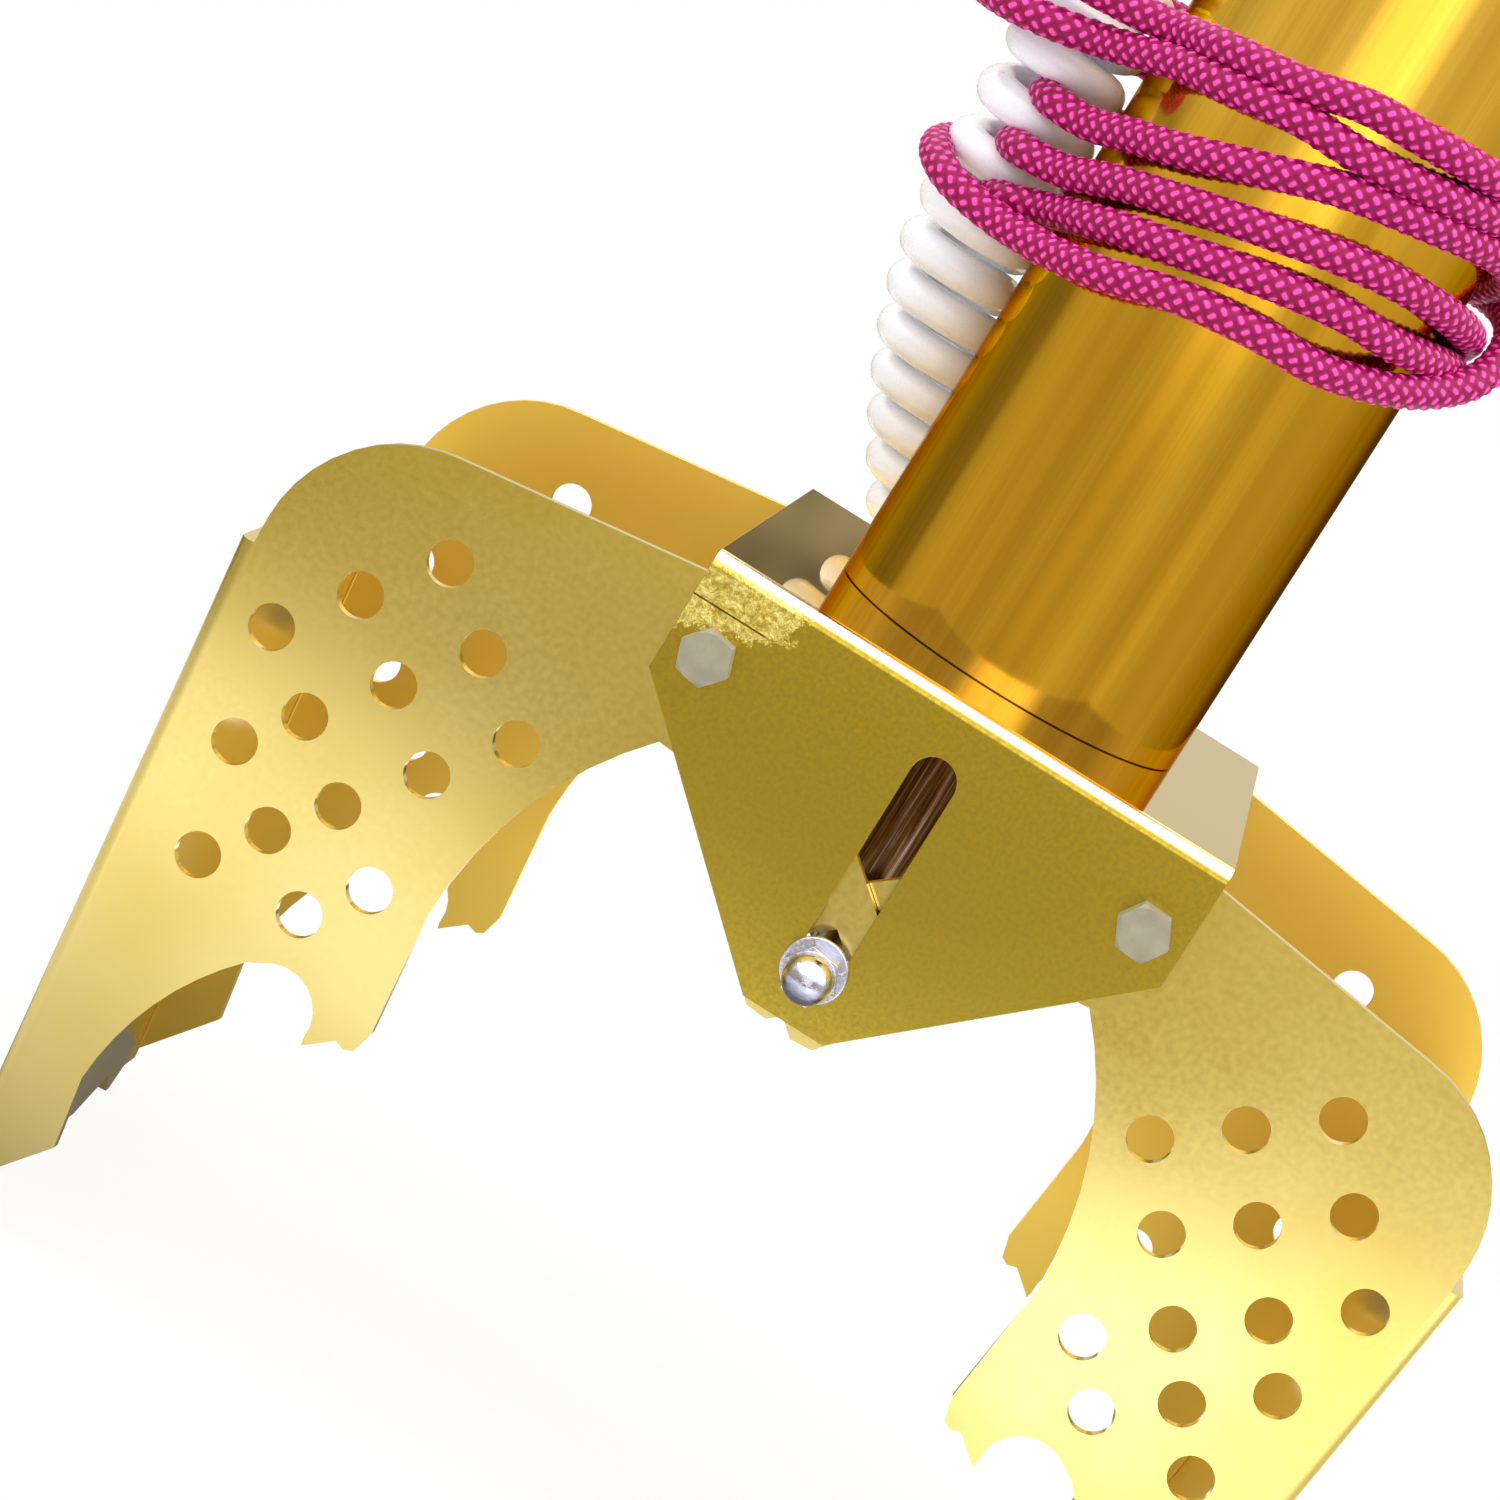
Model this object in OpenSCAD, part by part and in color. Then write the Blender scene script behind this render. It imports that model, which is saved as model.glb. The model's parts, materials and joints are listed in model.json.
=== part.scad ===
// Two-jaw solenoid grab: a folded bracket carries two perforated jaws on long
// pivot bolts. A plunger inside the round housing lifts a cross stud in the
// bracket's slots, and the stud swings both jaw arms to close the jaws.
// Frame: X across the jaws, Y front to back, Z up. Z = 0 is where the jaws stand.

/* [Sheet metal] */
// Thickness of the folded sheet
sheet_t = 2; // [1.5:0.1:2.4]
// Outside radius of the folds
fold_r = 2.4; // [2.4:0.1:4]
// Gap between neighbouring sheets that slide on each other
sheet_gap = 0.4; // [0.3:0.05:0.6]

/* [Bracket] */
// Width across the jaws
bracket_w = 88; // [86:1:100]
// Depth from front face to back face
bracket_d = 106; // [90:1:130]
// Height of the top face above the pivots
bracket_top = 14.3; // [13.5:0.1:20]
// Drop from the pivots to the side corners
bracket_side_drop = 6; // [4:0.5:10]
// Drop from the pivots to the bottom edge
bracket_drop = 40.3; // [38:0.1:46]
// Width of the bottom edge
bracket_foot_w = 13.8; // [12:0.1:24]
// Clearance of the stud in the bracket's slots, each side
slot_clear = 1.15; // [0.9:0.05:1.25]

/* [Pivots] */
// Distance between the two pivots
pivot_spacing = 75; // [73:0.5:80]
// Diameter of the pivot bolts
pivot_d = 5; // [4:0.5:5.5]
// Width across the flats of the pivot heads and nuts
pivot_af = 8; // [8:0.5:10]
// Height of the pivot heads
pivot_head_h = 3.5; // [3:0.5:5]
// Height of the pivot lock nuts
pivot_nut_h = 5; // [4:0.5:6]
// Diameter of the spacer sleeves, washers and shims on the pivots
sleeve_d = 10; // [8:0.5:12]
// Running clearance on a pin, each side
run_clear = 0.06; // [0.03:0.01:0.1]

/* [Jaws] */
// Angle that each jaw swings from open to closed
jaw_swing = 36.5; // [30:0.5:36.5]
// Reach of the jaw from the centre line, at its shoulder
jaw_reach = 106.3; // [102:0.1:112]
// Drop from the pivots to the shoulder's lower end
shoulder_drop = 22.5; // [21:0.1:24]
// Reach of the jaw's tip from the centre line
tip_reach = 95.2; // [93:0.1:98]
// Drop from the pivots to the jaw's tip
tip_drop = 133.5; // [130:0.1:140]
// Radius of the plate's rounded shoulder
shoulder_r = 23; // [18:1:26]
// Diameter of the drain holes
hole_d = 7.2; // [5:0.1:7.6]
// Length of the spikes on the web's lower edge
spike_h = 3.4; // [2:0.1:5]

/* [Drive] */
// Diameter of the cross stud
stud_d = 5; // [4.5:0.5:5]
// Drop from the pivots to the stud with the jaws open
stud_drop = 31.3; // [30.5:0.1:31.6]
// Half width of the arm above the stud's line
arm_up = 11.1; // [9:0.1:11.4]
// Half width of the arm below the stud's line
arm_down = 7.2; // [7:0.1:9]
// Half width of the slot in the arm
arm_slot_r = 4.8; // [4.6:0.1:5]
// Reach of the arm from its pivot
arm_reach = 60.5; // [57:0.5:62]
// Width across the flats of the cap nuts
cap_nut_af = 8; // [8:0.5:10]
// Height of the hexagon of a cap nut
cap_nut_hex_h = 4.5; // [4:0.5:5]
// Diameter of the dome of a cap nut
cap_nut_dome_d = 7.6; // [7:0.1:7.8]
// Length of a cap nut
cap_nut_l = 10.5; // [10:0.5:12]
// Diameter of the stud washers
stud_washer_d = 10.4; // [10:0.1:12]

/* [Solenoid] */
// Outside diameter of the housing tube
tube_od = 60; // [54:1:70]
// Wall of the housing tube
tube_wall = 2; // [1.5:0.1:3]
// Length of the housing tube
tube_l = 123; // [121:1:150]
// Thickness of the two pole plates
pole_t = 6; // [5:0.5:8]
// Wall of the coil former
bobbin_wall = 1.8; // [1.2:0.1:2.5]
// Thickness of the coil former's flanges
flange_t = 2.5; // [2:0.1:4]
// Depth of copper on the former
winding_t = 12; // [8:0.5:13]
// Diameter of the plunger
plunger_d = 20; // [18:0.5:22]
// Length of the fixed core
core_l = 19.6; // [17:0.1:24]
// Height of the plunger's lower face over the lower pole plate, jaws open
plunger_rest = 2; // [1:0.5:3]
// Gap left between plunger and core, jaws closed
core_gap = 0.5; // [0.4:0.1:1.5]
// Wall of the brass guide sleeve
guide_wall = 0.9; // [0.7:0.1:1.4]
// Diameter of the plunger rod
rod_d = 10; // [8:0.5:12]
// Diameter of the cross barrel on the rod's lower end
barrel_d = 13; // [12:0.5:15]
// Length of the cross barrel
barrel_l = 24; // [20:1:30]
// Outside diameter of the return spring
spring_od = 11; // [9:0.5:12]
// Wire of the return spring
spring_wire = 1; // [0.8:0.1:1.2]
// Depth of the spring's seat in the plunger
seat_depth = 16; // [12:1:18]
// Depth of the spring's seat in the core
core_seat = 8; // [6:1:9]

/* [Top] */
// Height of the top cap above the tube
cap_h = 9; // [7:0.5:12]
// Depth of the cap's spigot in the tube
spigot_h = 7; // [6:0.5:9]
// Diameter of the hanging bore in the eye
eye_bore_d = 10; // [8:0.5:12]
// Thickness of the eye
eye_t = 6; // [5:0.5:8]
// Diameter of the eye's stem
eye_stem_d = 8; // [6:0.5:8.5]
// Distance of the cable gland's middle from the housing's outside
gland_edge = 11; // [10.5:0.1:11.5]

/* [Cord and rope] */
// Diameter of the curly cord's cable
cable_d = 6.4; // [5:0.1:7]
// Outside diameter of the curl
curl_od = 22.4; // [20:0.2:25]
// Diameter of the rope
rope_d = 5.6; // [4:0.1:5.6]
// Height of the rope wound round the housing
wrap_h = 47; // [30:1:60]

/* [Hidden] */
$fn = 64;
e = 0.01;

// Colours
gold = [0.80, 0.66, 0.28];
steel = [0.72, 0.72, 0.74];
zinc = [0.62, 0.60, 0.56];
black = [0.12, 0.12, 0.13];

// Arm: direction from the pivot to the stud, jaws open
pivot_x = pivot_spacing / 2;
arm_angle = atan2(stud_drop, pivot_x);
stud_r_open = norm([pivot_x, stud_drop]);
// Lift that swings the jaws from open to closed
lift = stud_drop + pivot_x * tan(jaw_swing - arm_angle);
stud_r_closed = norm([pivot_x, stud_drop - lift]);

// Outer web of a jaw, outward and up from the middle of the pivots
web_top = [jaw_reach, -shoulder_drop];
web_end = [tip_reach, -tip_drop];
web_run = web_end - web_top;
web_l = norm(web_run);
web_dir = web_run / web_l;
web_lean = atan2(-web_run[0], -web_run[1]);

// Heights
pivot_z = -web_end[1] - spike_h * web_dir[1];
base_z = pivot_z + bracket_top;
stud_z = pivot_z - stud_drop;
tube_top = base_z + tube_l;
cap_top = tube_top + cap_h;
core_nut_h = 6;
eye_nut_h = 6.5;
stem_spare = 2;
head_room = 3.5;
bobbin_h = tube_l - 2 * pole_t - core_nut_h - spigot_h - eye_nut_h - 2 * stem_spare - head_room;
bobbin_z = base_z + pole_t;
bobbin_top = bobbin_z + bobbin_h;
core_z = bobbin_top - core_l;
plunger_z = bobbin_z + plunger_rest;
plunger_top = core_z - core_gap - lift;
plunger_l = plunger_top - plunger_z;

// Depths
face_y = bracket_d / 2;
plate_in = face_y - sheet_t;
jaw_d = bracket_d - 2 * sheet_t - sheet_t - 3 * sheet_gap;
jaw_shift = (sheet_t + sheet_gap) / 2;
sleeve_l = jaw_d - 2 * sheet_t - 0.2;

// Bores
tube_id = tube_od - 2 * tube_wall;
insert_d = tube_id - 0.2;
guide_id = plunger_d + 4 * run_clear;
guide_od = guide_id + 2 * guide_wall;
bobbin_od = guide_od + 2 * bobbin_wall;
rod_bore = rod_d + 2 * run_clear;
base_screw_d = 4;
base_screw_r = 20;
base_screw_head = [7.6, 2.2];
cap_screw_d = 3;
cap_screw_l = 6;
eye_rim = 6;
eye_ring_d = eye_bore_d + 2 * eye_rim;
eye_neck = 10;
gland_a = 150;
gland_off = tube_od / 2 - gland_edge;
gland_bore = cable_d + 0.4;
gland_x = gland_off * cos(gland_a);
gland_y = gland_off * sin(gland_a);

// Curly cord: its curl lies along the housing and round it a little, from low to high.
// Each entry is the angle round the housing, the gap to it and the height over the bracket.
curl_r = curl_od / 2;
curl_marks = [
  [134, 1, 12.8], [148, 0.7, 29], [164, 0.6, 48], [174, 0.6, 66], [178, 0.6, 88], [178, 1.5, 110]
];
function curl_at(m) = round_tube(m[0], tube_od / 2 + curl_r + m[1], base_z + m[2]);
curl_points = [for (m = curl_marks) curl_at(m)];
curl_low = curl_points[0];
curl_high = curl_points[len(curl_points) - 1];
// Cable from the curl's high end into the gland
lead_points = [
  curl_high, curl_high + [-0.5, -0.5, 8], curl_high + [0, 0, 20], curl_high + [4, 1.5, 32],
  curl_high + [12, 4, 40], [gland_x - 5.5, gland_y - 0.5, cap_top + 20.3],
  for (h = [16.3, 10.8, 4.8, -spigot_h - 26.7]) [gland_x, gland_y, cap_top + h]
];
// Cable from the curl's low end to its plug, which lies on the bracket
plug = [16, 9, 9];
plug_y = tube_od / 2 + 11;
plug_z = base_z + plug[2] / 2 + 0.1;
plug_at = [0, plug_y, plug_z];
tail_points = [
  curl_low, curl_low + [2.5, 3, -4], [-22, plug_y - 4, plug_z + 0.7], [-12, plug_y - 1, plug_z],
  plug_at
];

// Rope: wound round the housing, with one end up to a knot on the eye's stem
wrap_z = base_z + 57.8;
wrap_top = wrap_z + wrap_h;
wrap_hug = 7;
rope_x = 10;
rope_y = tube_od / 2 + rope_d / 2 + 1.2;
rope_points = [
  [4, 7.5, cap_top + 8.8], [6, 16, cap_top + 7.8], [8, rope_y - 8, cap_top + 6.8],
  [rope_x - 0.5, rope_y - 2.5, cap_top + 4.3], [rope_x, rope_y - 0.2, cap_top - 1.2],
  [rope_x, rope_y, cap_top - 9.2], [rope_x, rope_y, cap_top - 19.2], [rope_x, rope_y - 0.2, wrap_top]
];

// ---- Shared shapes -------------------------------------------------------

function round_tube(a, r, z) = [r * cos(a), r * sin(a), z];
function arc(c, r, from, to, steps) =
  [for (i = [0:steps]) c + r * [cos(from + (to - from) * i / steps), sin(from + (to - from) * i / steps)]];

// Upright outline in X and Z, extruded along Y from y0 by depth
module upright(y0, depth) {
  translate([0, y0 + depth, 0])
    rotate([90, 0, 0])
      linear_extrude(height = depth)
        children();
}

// A round bar along Y
module bar_y(x, y0, z, d, l) {
  translate([x, y0 + l, z])
    rotate([90, 0, 0])
      cylinder(d = d, h = l);
}

// A hexagonal bar along Y, turned by turn from flats upright
module hex_y(x, y0, z, af, l, turn = 0) {
  translate([x, y0 + l, z])
    rotate([90, 0, 0])
      rotate([0, 0, 30 + turn])
        cylinder(d = af / cos(30), h = l, $fn = 6);
}

// A folded U profile: web along one edge, legs to +X, w wide in Y
module u_profile(w, leg) {
  in_r = fold_r - sheet_t;
  difference() {
    union() {
      translate([fold_r, -w / 2])
        square([leg - fold_r, w]);
      translate([0, -w / 2 + fold_r])
        square([leg, w - 2 * fold_r]);
      for (s = [-1, 1])
        translate([fold_r, s * (w / 2 - fold_r)])
          circle(r = fold_r);
    }
    translate([fold_r, -w / 2 + sheet_t])
      square([leg, w - 2 * sheet_t]);
    translate([sheet_t, -w / 2 + fold_r])
      square([leg, w - 2 * fold_r]);
    if (in_r > 0)
      for (s = [-1, 1])
        translate([fold_r, s * (w / 2 - fold_r)])
          circle(r = in_r);
  }
}

// Swept round tube through a list of points
function unit(v) = v / norm(v);
function tangent(p, i) =
  unit(p[min(i + 1, len(p) - 1)] - p[max(i - 1, 0)]);
function side_of(t) = abs(t[2]) > 0.9 ? unit(cross(t, [0, 1, 0])) : unit(cross(t, [0, 0, 1]));
function ring(p, i, r, n) =
  let (t = tangent(p, i), a = side_of(t), b = cross(t, a))
  [for (k = [0:n - 1]) p[i] + r * (a * cos(360 * k / n) + b * sin(360 * k / n))];
module sweep(p, r, n) {
  rings = [for (i = [0:len(p) - 1]) each ring(p, i, r, n)];
  last = (len(p) - 1) * n;
  walls = [
    for (i = [0:len(p) - 2], k = [0:n - 1])
      let (a = i * n + k, b = i * n + (k + 1) % n)
      each [[a, a + n, b + n], [a, b + n, b]]
  ];
  ends = [[for (k = [0:n - 1]) k], [for (k = [n - 1:-1:0]) last + k]];
  polyhedron(points = rings, faces = concat(walls, ends), convexity = 6);
}
// Points of a smooth curve through a few chosen ones
function blend(a, b, c, d, t) =
  0.5 * (2 * b + (c - a) * t + (2 * a - 5 * b + 4 * c - d) * t * t + (3 * b - a - 3 * c + d) * t * t * t);
function smooth_path(p, m) = concat(
  [for (i = [0:len(p) - 2], j = [0:m - 1])
    blend(p[max(i - 1, 0)], p[i], p[i + 1], p[min(i + 2, len(p) - 1)], j / m)],
  [p[len(p) - 1]]
);

// ---- Bracket -------------------------------------------------------------

module slot_shape(from, to, r) {
  translate([from, -r])
    square([to - from, 2 * r]);
  for (x = [from, to])
    translate([x, 0])
      circle(r = r);
}

module bracket_outline() {
  polygon([
    [-bracket_w / 2, base_z], [-bracket_w / 2, pivot_z - bracket_side_drop],
    [-bracket_foot_w / 2, pivot_z - bracket_drop], [bracket_foot_w / 2, pivot_z - bracket_drop],
    [bracket_w / 2, pivot_z - bracket_side_drop], [bracket_w / 2, base_z]
  ]);
}

// Slot length beyond the stud's travel
slot_spare_low = 0.1;
slot_spare = 4.1;
module bracket() {
  slot_r = stud_d / 2 + slot_clear;
  color(gold)
    difference() {
      intersection() {
        translate([-bracket_w / 2, 0, base_z])
          rotate([0, 90, 0])
            linear_extrude(height = bracket_w)
              u_profile(bracket_d, bracket_top + bracket_drop);
        upright(-face_y, bracket_d)
          bracket_outline();
      }
      for (s = [-1, 1])
        bar_y(s * pivot_x, -face_y - 1, pivot_z, pivot_d + 2 * run_clear, bracket_d + 2);
      upright(-face_y - 1, bracket_d + 2)
        translate([0, stud_z, 0])
          rotate([0, 0, 90])
            slot_shape(-slot_spare_low, lift + slot_spare, slot_r);
      translate([0, 0, base_z - sheet_t - 1])
        cylinder(d = rod_bore + 1, h = sheet_t + 2);
      base_screw_places()
        translate([0, 0, base_z - sheet_t - 1])
          cylinder(d = base_screw_d + 0.2, h = sheet_t + 2);
    }
}

// ---- Pivots --------------------------------------------------------------

// Turn of the left and the right bolt's head, and of the cap nuts
head_turns = [19, 27];
nut_turn = 23;
module pivot_bolt(x) {
  color(zinc) {
    hex_y(x, -face_y - pivot_head_h, pivot_z, pivot_af, pivot_head_h, head_turns[x > 0 ? 1 : 0]);
    bar_y(x, -face_y - e, pivot_z, pivot_d, bracket_d + pivot_nut_h + 1.5);
  }
}

module pivot_bolt_left() {
  pivot_bolt(-pivot_x);
}

module pivot_bolt_right() {
  pivot_bolt(pivot_x);
}

module pivot_nuts() {
  color(zinc)
    for (s = [-1, 1])
      difference() {
        hex_y(s * pivot_x, face_y, pivot_z, pivot_af, pivot_nut_h);
        bar_y(s * pivot_x, face_y - 1, pivot_z, pivot_d, pivot_nut_h + 2);
      }
}

module pivot_tube(x, y0, l) {
  difference() {
    bar_y(x, y0, pivot_z, sleeve_d, l);
    bar_y(x, y0 - 1, pivot_z, pivot_d + 2 * run_clear, l + 2);
  }
}

// Each sleeve holds a jaw's two plates apart
module spacer_sleeves() {
  color(steel)
    for (s = [-1, 1])
      pivot_tube(s * pivot_x, s * jaw_shift - sleeve_l / 2, sleeve_l);
}

// The wide gap beside each jaw plate, on the side away from its own shim
module spacer_washers() {
  l = 2 * jaw_shift + sheet_gap;
  color(zinc)
    for (s = [-1, 1])
      pivot_tube(s * pivot_x, s > 0 ? -plate_in : plate_in - l, l - 0.1);
}

module thin_shims() {
  color("white")
    for (s = [-1, 1])
      pivot_tube(s * pivot_x, s > 0 ? plate_in - sheet_gap + 0.1 : -plate_in, sheet_gap - 0.1);
}

// ---- Jaws: drawn for the right side, X outward and Z up from the pivots ----

arm_dir = [-cos(arm_angle), -sin(arm_angle)];
arm_nrm = [-sin(arm_angle), cos(arm_angle)];
pivot_p = [pivot_x, 0];
web_in = [web_dir[1], -web_dir[0]];
function on_arm(r, n) = pivot_p + r * arm_dir + n * arm_nrm;

// Where the shoulder's curve meets the fold of the web
fold_start = web_top + fold_r * web_in;
shoulder_c = fold_start + shoulder_r * web_in + [0, 2];

// Curves of the plate's edge, as centre and radius, and the teeth between them
arm_roots = [12, 16];
arm_nip = 2.5;
inner_c = [-9.2, -56.9];
inner_r = 62.4;
inner_tooth = [[51.2, -76.5], [52.2, -80.3], [53.5, -81], [55.3, -80.5], [59.4, -84]];
notch_c = [66.6, -81.9];
notch_r = 7;
lower_c = [38.9, -109.4];
lower_r = 46.6;
tip_inner = web_end + [-11.5, 14.8];
spike_reach = 1.7 * spike_h * web_dir;
arm_top = [pivot_x - 1.5, 11.3];

module jaw_outline() {
  tip_run = web_end - tip_inner;
  tip_sheet = web_end - tip_run * sheet_t / abs(tip_run * web_in);
  polygon(concat(
    [on_arm(arm_roots[0], arm_up), on_arm(arm_reach, arm_up)],
    [on_arm(arm_reach, arm_nip - arm_down), on_arm(arm_reach - arm_nip, -arm_down)],
    [on_arm(arm_roots[1], -arm_down)],
    arc(inner_c, inner_r, 42, 0.5, 8),
    inner_tooth,
    arc(notch_c, notch_r, 188, 50, 8),
    arc(lower_c, lower_r, 43, 3, 8),
    [tip_inner, tip_sheet, tip_sheet + spike_reach, web_end + spike_reach],
    [web_top, fold_start],
    arc(shoulder_c, shoulder_r, 0, 84, 10),
    [arm_top]
  ));
}

// Lower edge of the web: teeth near the corners and a tongue between them
tooth_in = [7, 11.5, 13.5, 17];
tongue_in = 33;
tongue_h = 0.4;
tooth_rise = 0.6;
module web_teeth_cut() {
  w = jaw_d / 2;
  far = spike_h * 4;
  low = [
    [tooth_in[0], 0], [tooth_in[1], spike_h], [tooth_in[2], spike_h], [tooth_in[3], -tooth_rise],
    [tongue_in, spike_h - tongue_h]
  ];
  polygon(concat(
    [[-w - 1, far], [-w - 1, 0]],
    [for (p = low) [p[0] - w, p[1]]],
    [for (i = [len(low) - 1:-1:0]) [w - low[i][0], low[i][1]]],
    [[w + 1, 0], [w + 1, far]]
  ));
}

// Drain holes: steps along and across the rows, and the first and last hole of each row
hole_step = 14.45;
hole_step_low = 11.5;
row_a = -51.3;
row_down = [cos(row_a), sin(row_a)];
row_across = [sin(row_a), -cos(row_a)];
hole_first = [77.2, -9.2];
hole_rows = [[0, 2], [0, 3], [0, 4], [2, 3]];
row_gaps = [0, 14.2, 28.4, 41.9];
function hole_at(i, j) = hole_first
  + (min(i, 2) * hole_step + max(i - 2, 0) * hole_step_low) * row_down
  + row_gaps[j] * row_across;

module jaw_right_flat() {
  reach = web_top[0] + arm_reach;
  difference() {
    intersection() {
      translate([web_top[0], 0, pivot_z + web_top[1]])
        rotate([0, web_lean, 0])
          translate([0, 0, -web_l - 3 * spike_h])
            rotate([0, 0, 180])
              linear_extrude(height = web_l + 3 * spike_h + 60)
                u_profile(jaw_d, reach);
      upright(-jaw_d / 2, jaw_d)
        translate([0, pivot_z])
          jaw_outline();
    }
    translate([web_top[0], 0, pivot_z + web_top[1]])
      rotate([0, web_lean, 0])
        translate([-fold_r - 4, 0, -web_l])
          rotate([90, 0, 90])
            linear_extrude(height = fold_r + 8)
              mirror([0, 1])
                web_teeth_cut();
    bar_y(pivot_x, -jaw_d, pivot_z, pivot_d + 2 * run_clear, 2 * jaw_d);
    for (j = [0:len(hole_rows) - 1])
      for (i = [hole_rows[j][0]:hole_rows[j][1]])
        bar_y(hole_at(i, j)[0], -jaw_d, pivot_z + hole_at(i, j)[1], hole_d, 2 * jaw_d);
    upright(-jaw_d, 2 * jaw_d)
      translate([pivot_x, pivot_z])
        rotate([0, 0, 180 + arm_angle])
          slot_shape(stud_r_closed - 0.2, stud_r_open + 0.2, arm_slot_r);
  }
}

module jaw_right() {
  color(gold)
    translate([0, jaw_shift, 0])
      jaw_right_flat();
}

module jaw_left() {
  color(gold)
    rotate([0, 0, 180])
      translate([0, jaw_shift, 0])
        jaw_right_flat();
}

// ---- Drive ---------------------------------------------------------------

washer_t = 1;
washer_gap = 0.1;
nut_seat = face_y + washer_gap + washer_t;
stud_end = nut_seat + cap_nut_l - 4;
lock_nut_h = 5;

module drive_stud() {
  color(steel)
    bar_y(0, -stud_end, stud_z, stud_d, 2 * stud_end);
}

module stud_washers() {
  color(steel)
    for (s = [-1, 1])
      difference() {
        bar_y(0, s > 0 ? face_y + washer_gap : -nut_seat, stud_z, stud_washer_d, washer_t);
        bar_y(0, -nut_seat - 1, stud_z, stud_d, 2 * nut_seat + 2);
      }
}

// Hexagon with a domed end, and a blind bore for the stud
module cap_nut() {
  dome_r = cap_nut_dome_d / 2;
  color(steel)
    difference() {
      union() {
        hex_y(0, -nut_seat - cap_nut_hex_h, stud_z, cap_nut_af, cap_nut_hex_h, nut_turn);
        translate([0, -nut_seat - cap_nut_hex_h + e, stud_z])
          rotate([90, 0, 0])
            rotate_extrude()
              intersection() {
                union() {
                  square([dome_r, cap_nut_l - cap_nut_hex_h - dome_r]);
                  translate([0, cap_nut_l - cap_nut_hex_h - dome_r])
                    circle(r = dome_r);
                }
                square([dome_r, cap_nut_l]);
              }
      }
      bar_y(0, -stud_end, stud_z, stud_d, 2 * stud_end);
    }
}

module cap_nut_front() {
  cap_nut();
}

module cap_nut_back() {
  rotate([0, 0, 180])
    cap_nut();
}

module stud_lock_nuts() {
  color(zinc)
    for (s = [-1, 1])
      difference() {
        hex_y(0, s > 0 ? barrel_l / 2 : -barrel_l / 2 - lock_nut_h, stud_z, cap_nut_af, lock_nut_h);
        bar_y(0, -barrel_l, stud_z, stud_d, 2 * barrel_l);
      }
}

// Clearance round the spring in its two seats
seat_clear = 0.4;

// Rod with a cross barrel on its lower end and a threaded tip in the plunger
rod_tip_d = 6;
rod_tip_l = 12;
module plunger_rod() {
  color(steel)
    difference() {
      union() {
        bar_y(0, -barrel_l / 2, stud_z, barrel_d, barrel_l);
        translate([0, 0, stud_z])
          cylinder(d = rod_d, h = plunger_z - stud_z);
        translate([0, 0, plunger_z - e])
          cylinder(d = rod_tip_d, h = rod_tip_l);
      }
      bar_y(0, -barrel_l, stud_z, stud_d, 2 * barrel_l);
    }
}

module plunger() {
  color(zinc)
    translate([0, 0, plunger_z])
      rotate_extrude()
        difference() {
          polygon([
            [0, 0], [plunger_d / 2 - 1, 0], [plunger_d / 2, 1], [plunger_d / 2, plunger_l - 1],
            [plunger_d / 2 - 1, plunger_l], [0, plunger_l]
          ]);
          square([rod_tip_d / 2, rod_tip_l]);
          translate([0, plunger_l - seat_depth])
            square([spring_od / 2 + seat_clear, seat_depth + 1]);
        }
}

spring_turns = 11;
spring_low = plunger_top - seat_depth;
spring_high = core_z + core_seat;
module return_spring() {
  r = spring_od / 2 - spring_wire / 2;
  rise = spring_high - spring_low - spring_wire;
  steps = spring_turns * 12;
  color(steel)
    sweep(
      [for (i = [0:steps])
        [r * cos(30 * i), r * sin(30 * i), spring_low + spring_wire / 2 + rise * i / steps]],
      spring_wire / 2 - 0.04, 6
    );
}

// ---- Solenoid ------------------------------------------------------------

module base_screw_places() {
  for (a = [90, 210, 330])
    rotate([0, 0, a])
      translate([base_screw_r, 0, 0])
        children();
}

module cap_screw_places() {
  for (a = [90, 210, 330])
    rotate([0, 0, a])
      translate([0, 0, tube_top - spigot_h / 2])
        rotate([0, 90, 0])
          children();
}

module housing_tube() {
  color(gold)
    difference() {
      translate([0, 0, base_z])
        cylinder(d = tube_od, h = tube_l, $fn = 96);
      translate([0, 0, base_z - 1])
        cylinder(d = tube_id, h = tube_l + 2, $fn = 96);
      cap_screw_places()
        cylinder(d = cap_screw_d, h = tube_od);
    }
}

module base_pole_plate() {
  color(zinc)
    difference() {
      translate([0, 0, base_z])
        cylinder(d = insert_d, h = pole_t);
      translate([0, 0, base_z - 1])
        cylinder(d = rod_bore, h = pole_t + 2);
      base_screw_places()
        translate([0, 0, base_z - 1])
          cylinder(d = base_screw_d, h = pole_t);
    }
}

module base_screws() {
  color(zinc)
    base_screw_places() {
      translate([0, 0, base_z - sheet_t - base_screw_head[1]])
        cylinder(d = base_screw_head[0], h = base_screw_head[1]);
      translate([0, 0, base_z - sheet_t - e])
        cylinder(d = base_screw_d, h = sheet_t + pole_t - 1.5);
    }
}

module guide_sleeve() {
  color("goldenrod")
    translate([0, 0, bobbin_z])
      difference() {
        cylinder(d = guide_od, h = bobbin_h);
        translate([0, 0, -1])
          cylinder(d = guide_id, h = bobbin_h + 2);
      }
}

module bobbin() {
  color("ivory")
    translate([0, 0, bobbin_z])
      rotate_extrude()
        difference() {
          translate([guide_od / 2, 0])
            square([insert_d / 2 - 1 - guide_od / 2, bobbin_h]);
          translate([bobbin_od / 2, flange_t])
            square([insert_d, bobbin_h - 2 * flange_t]);
        }
}

module winding() {
  color("chocolate")
    translate([0, 0, bobbin_z + flange_t])
      rotate_extrude()
        translate([bobbin_od / 2, 0])
          square([winding_t, bobbin_h - 2 * flange_t]);
}

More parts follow.
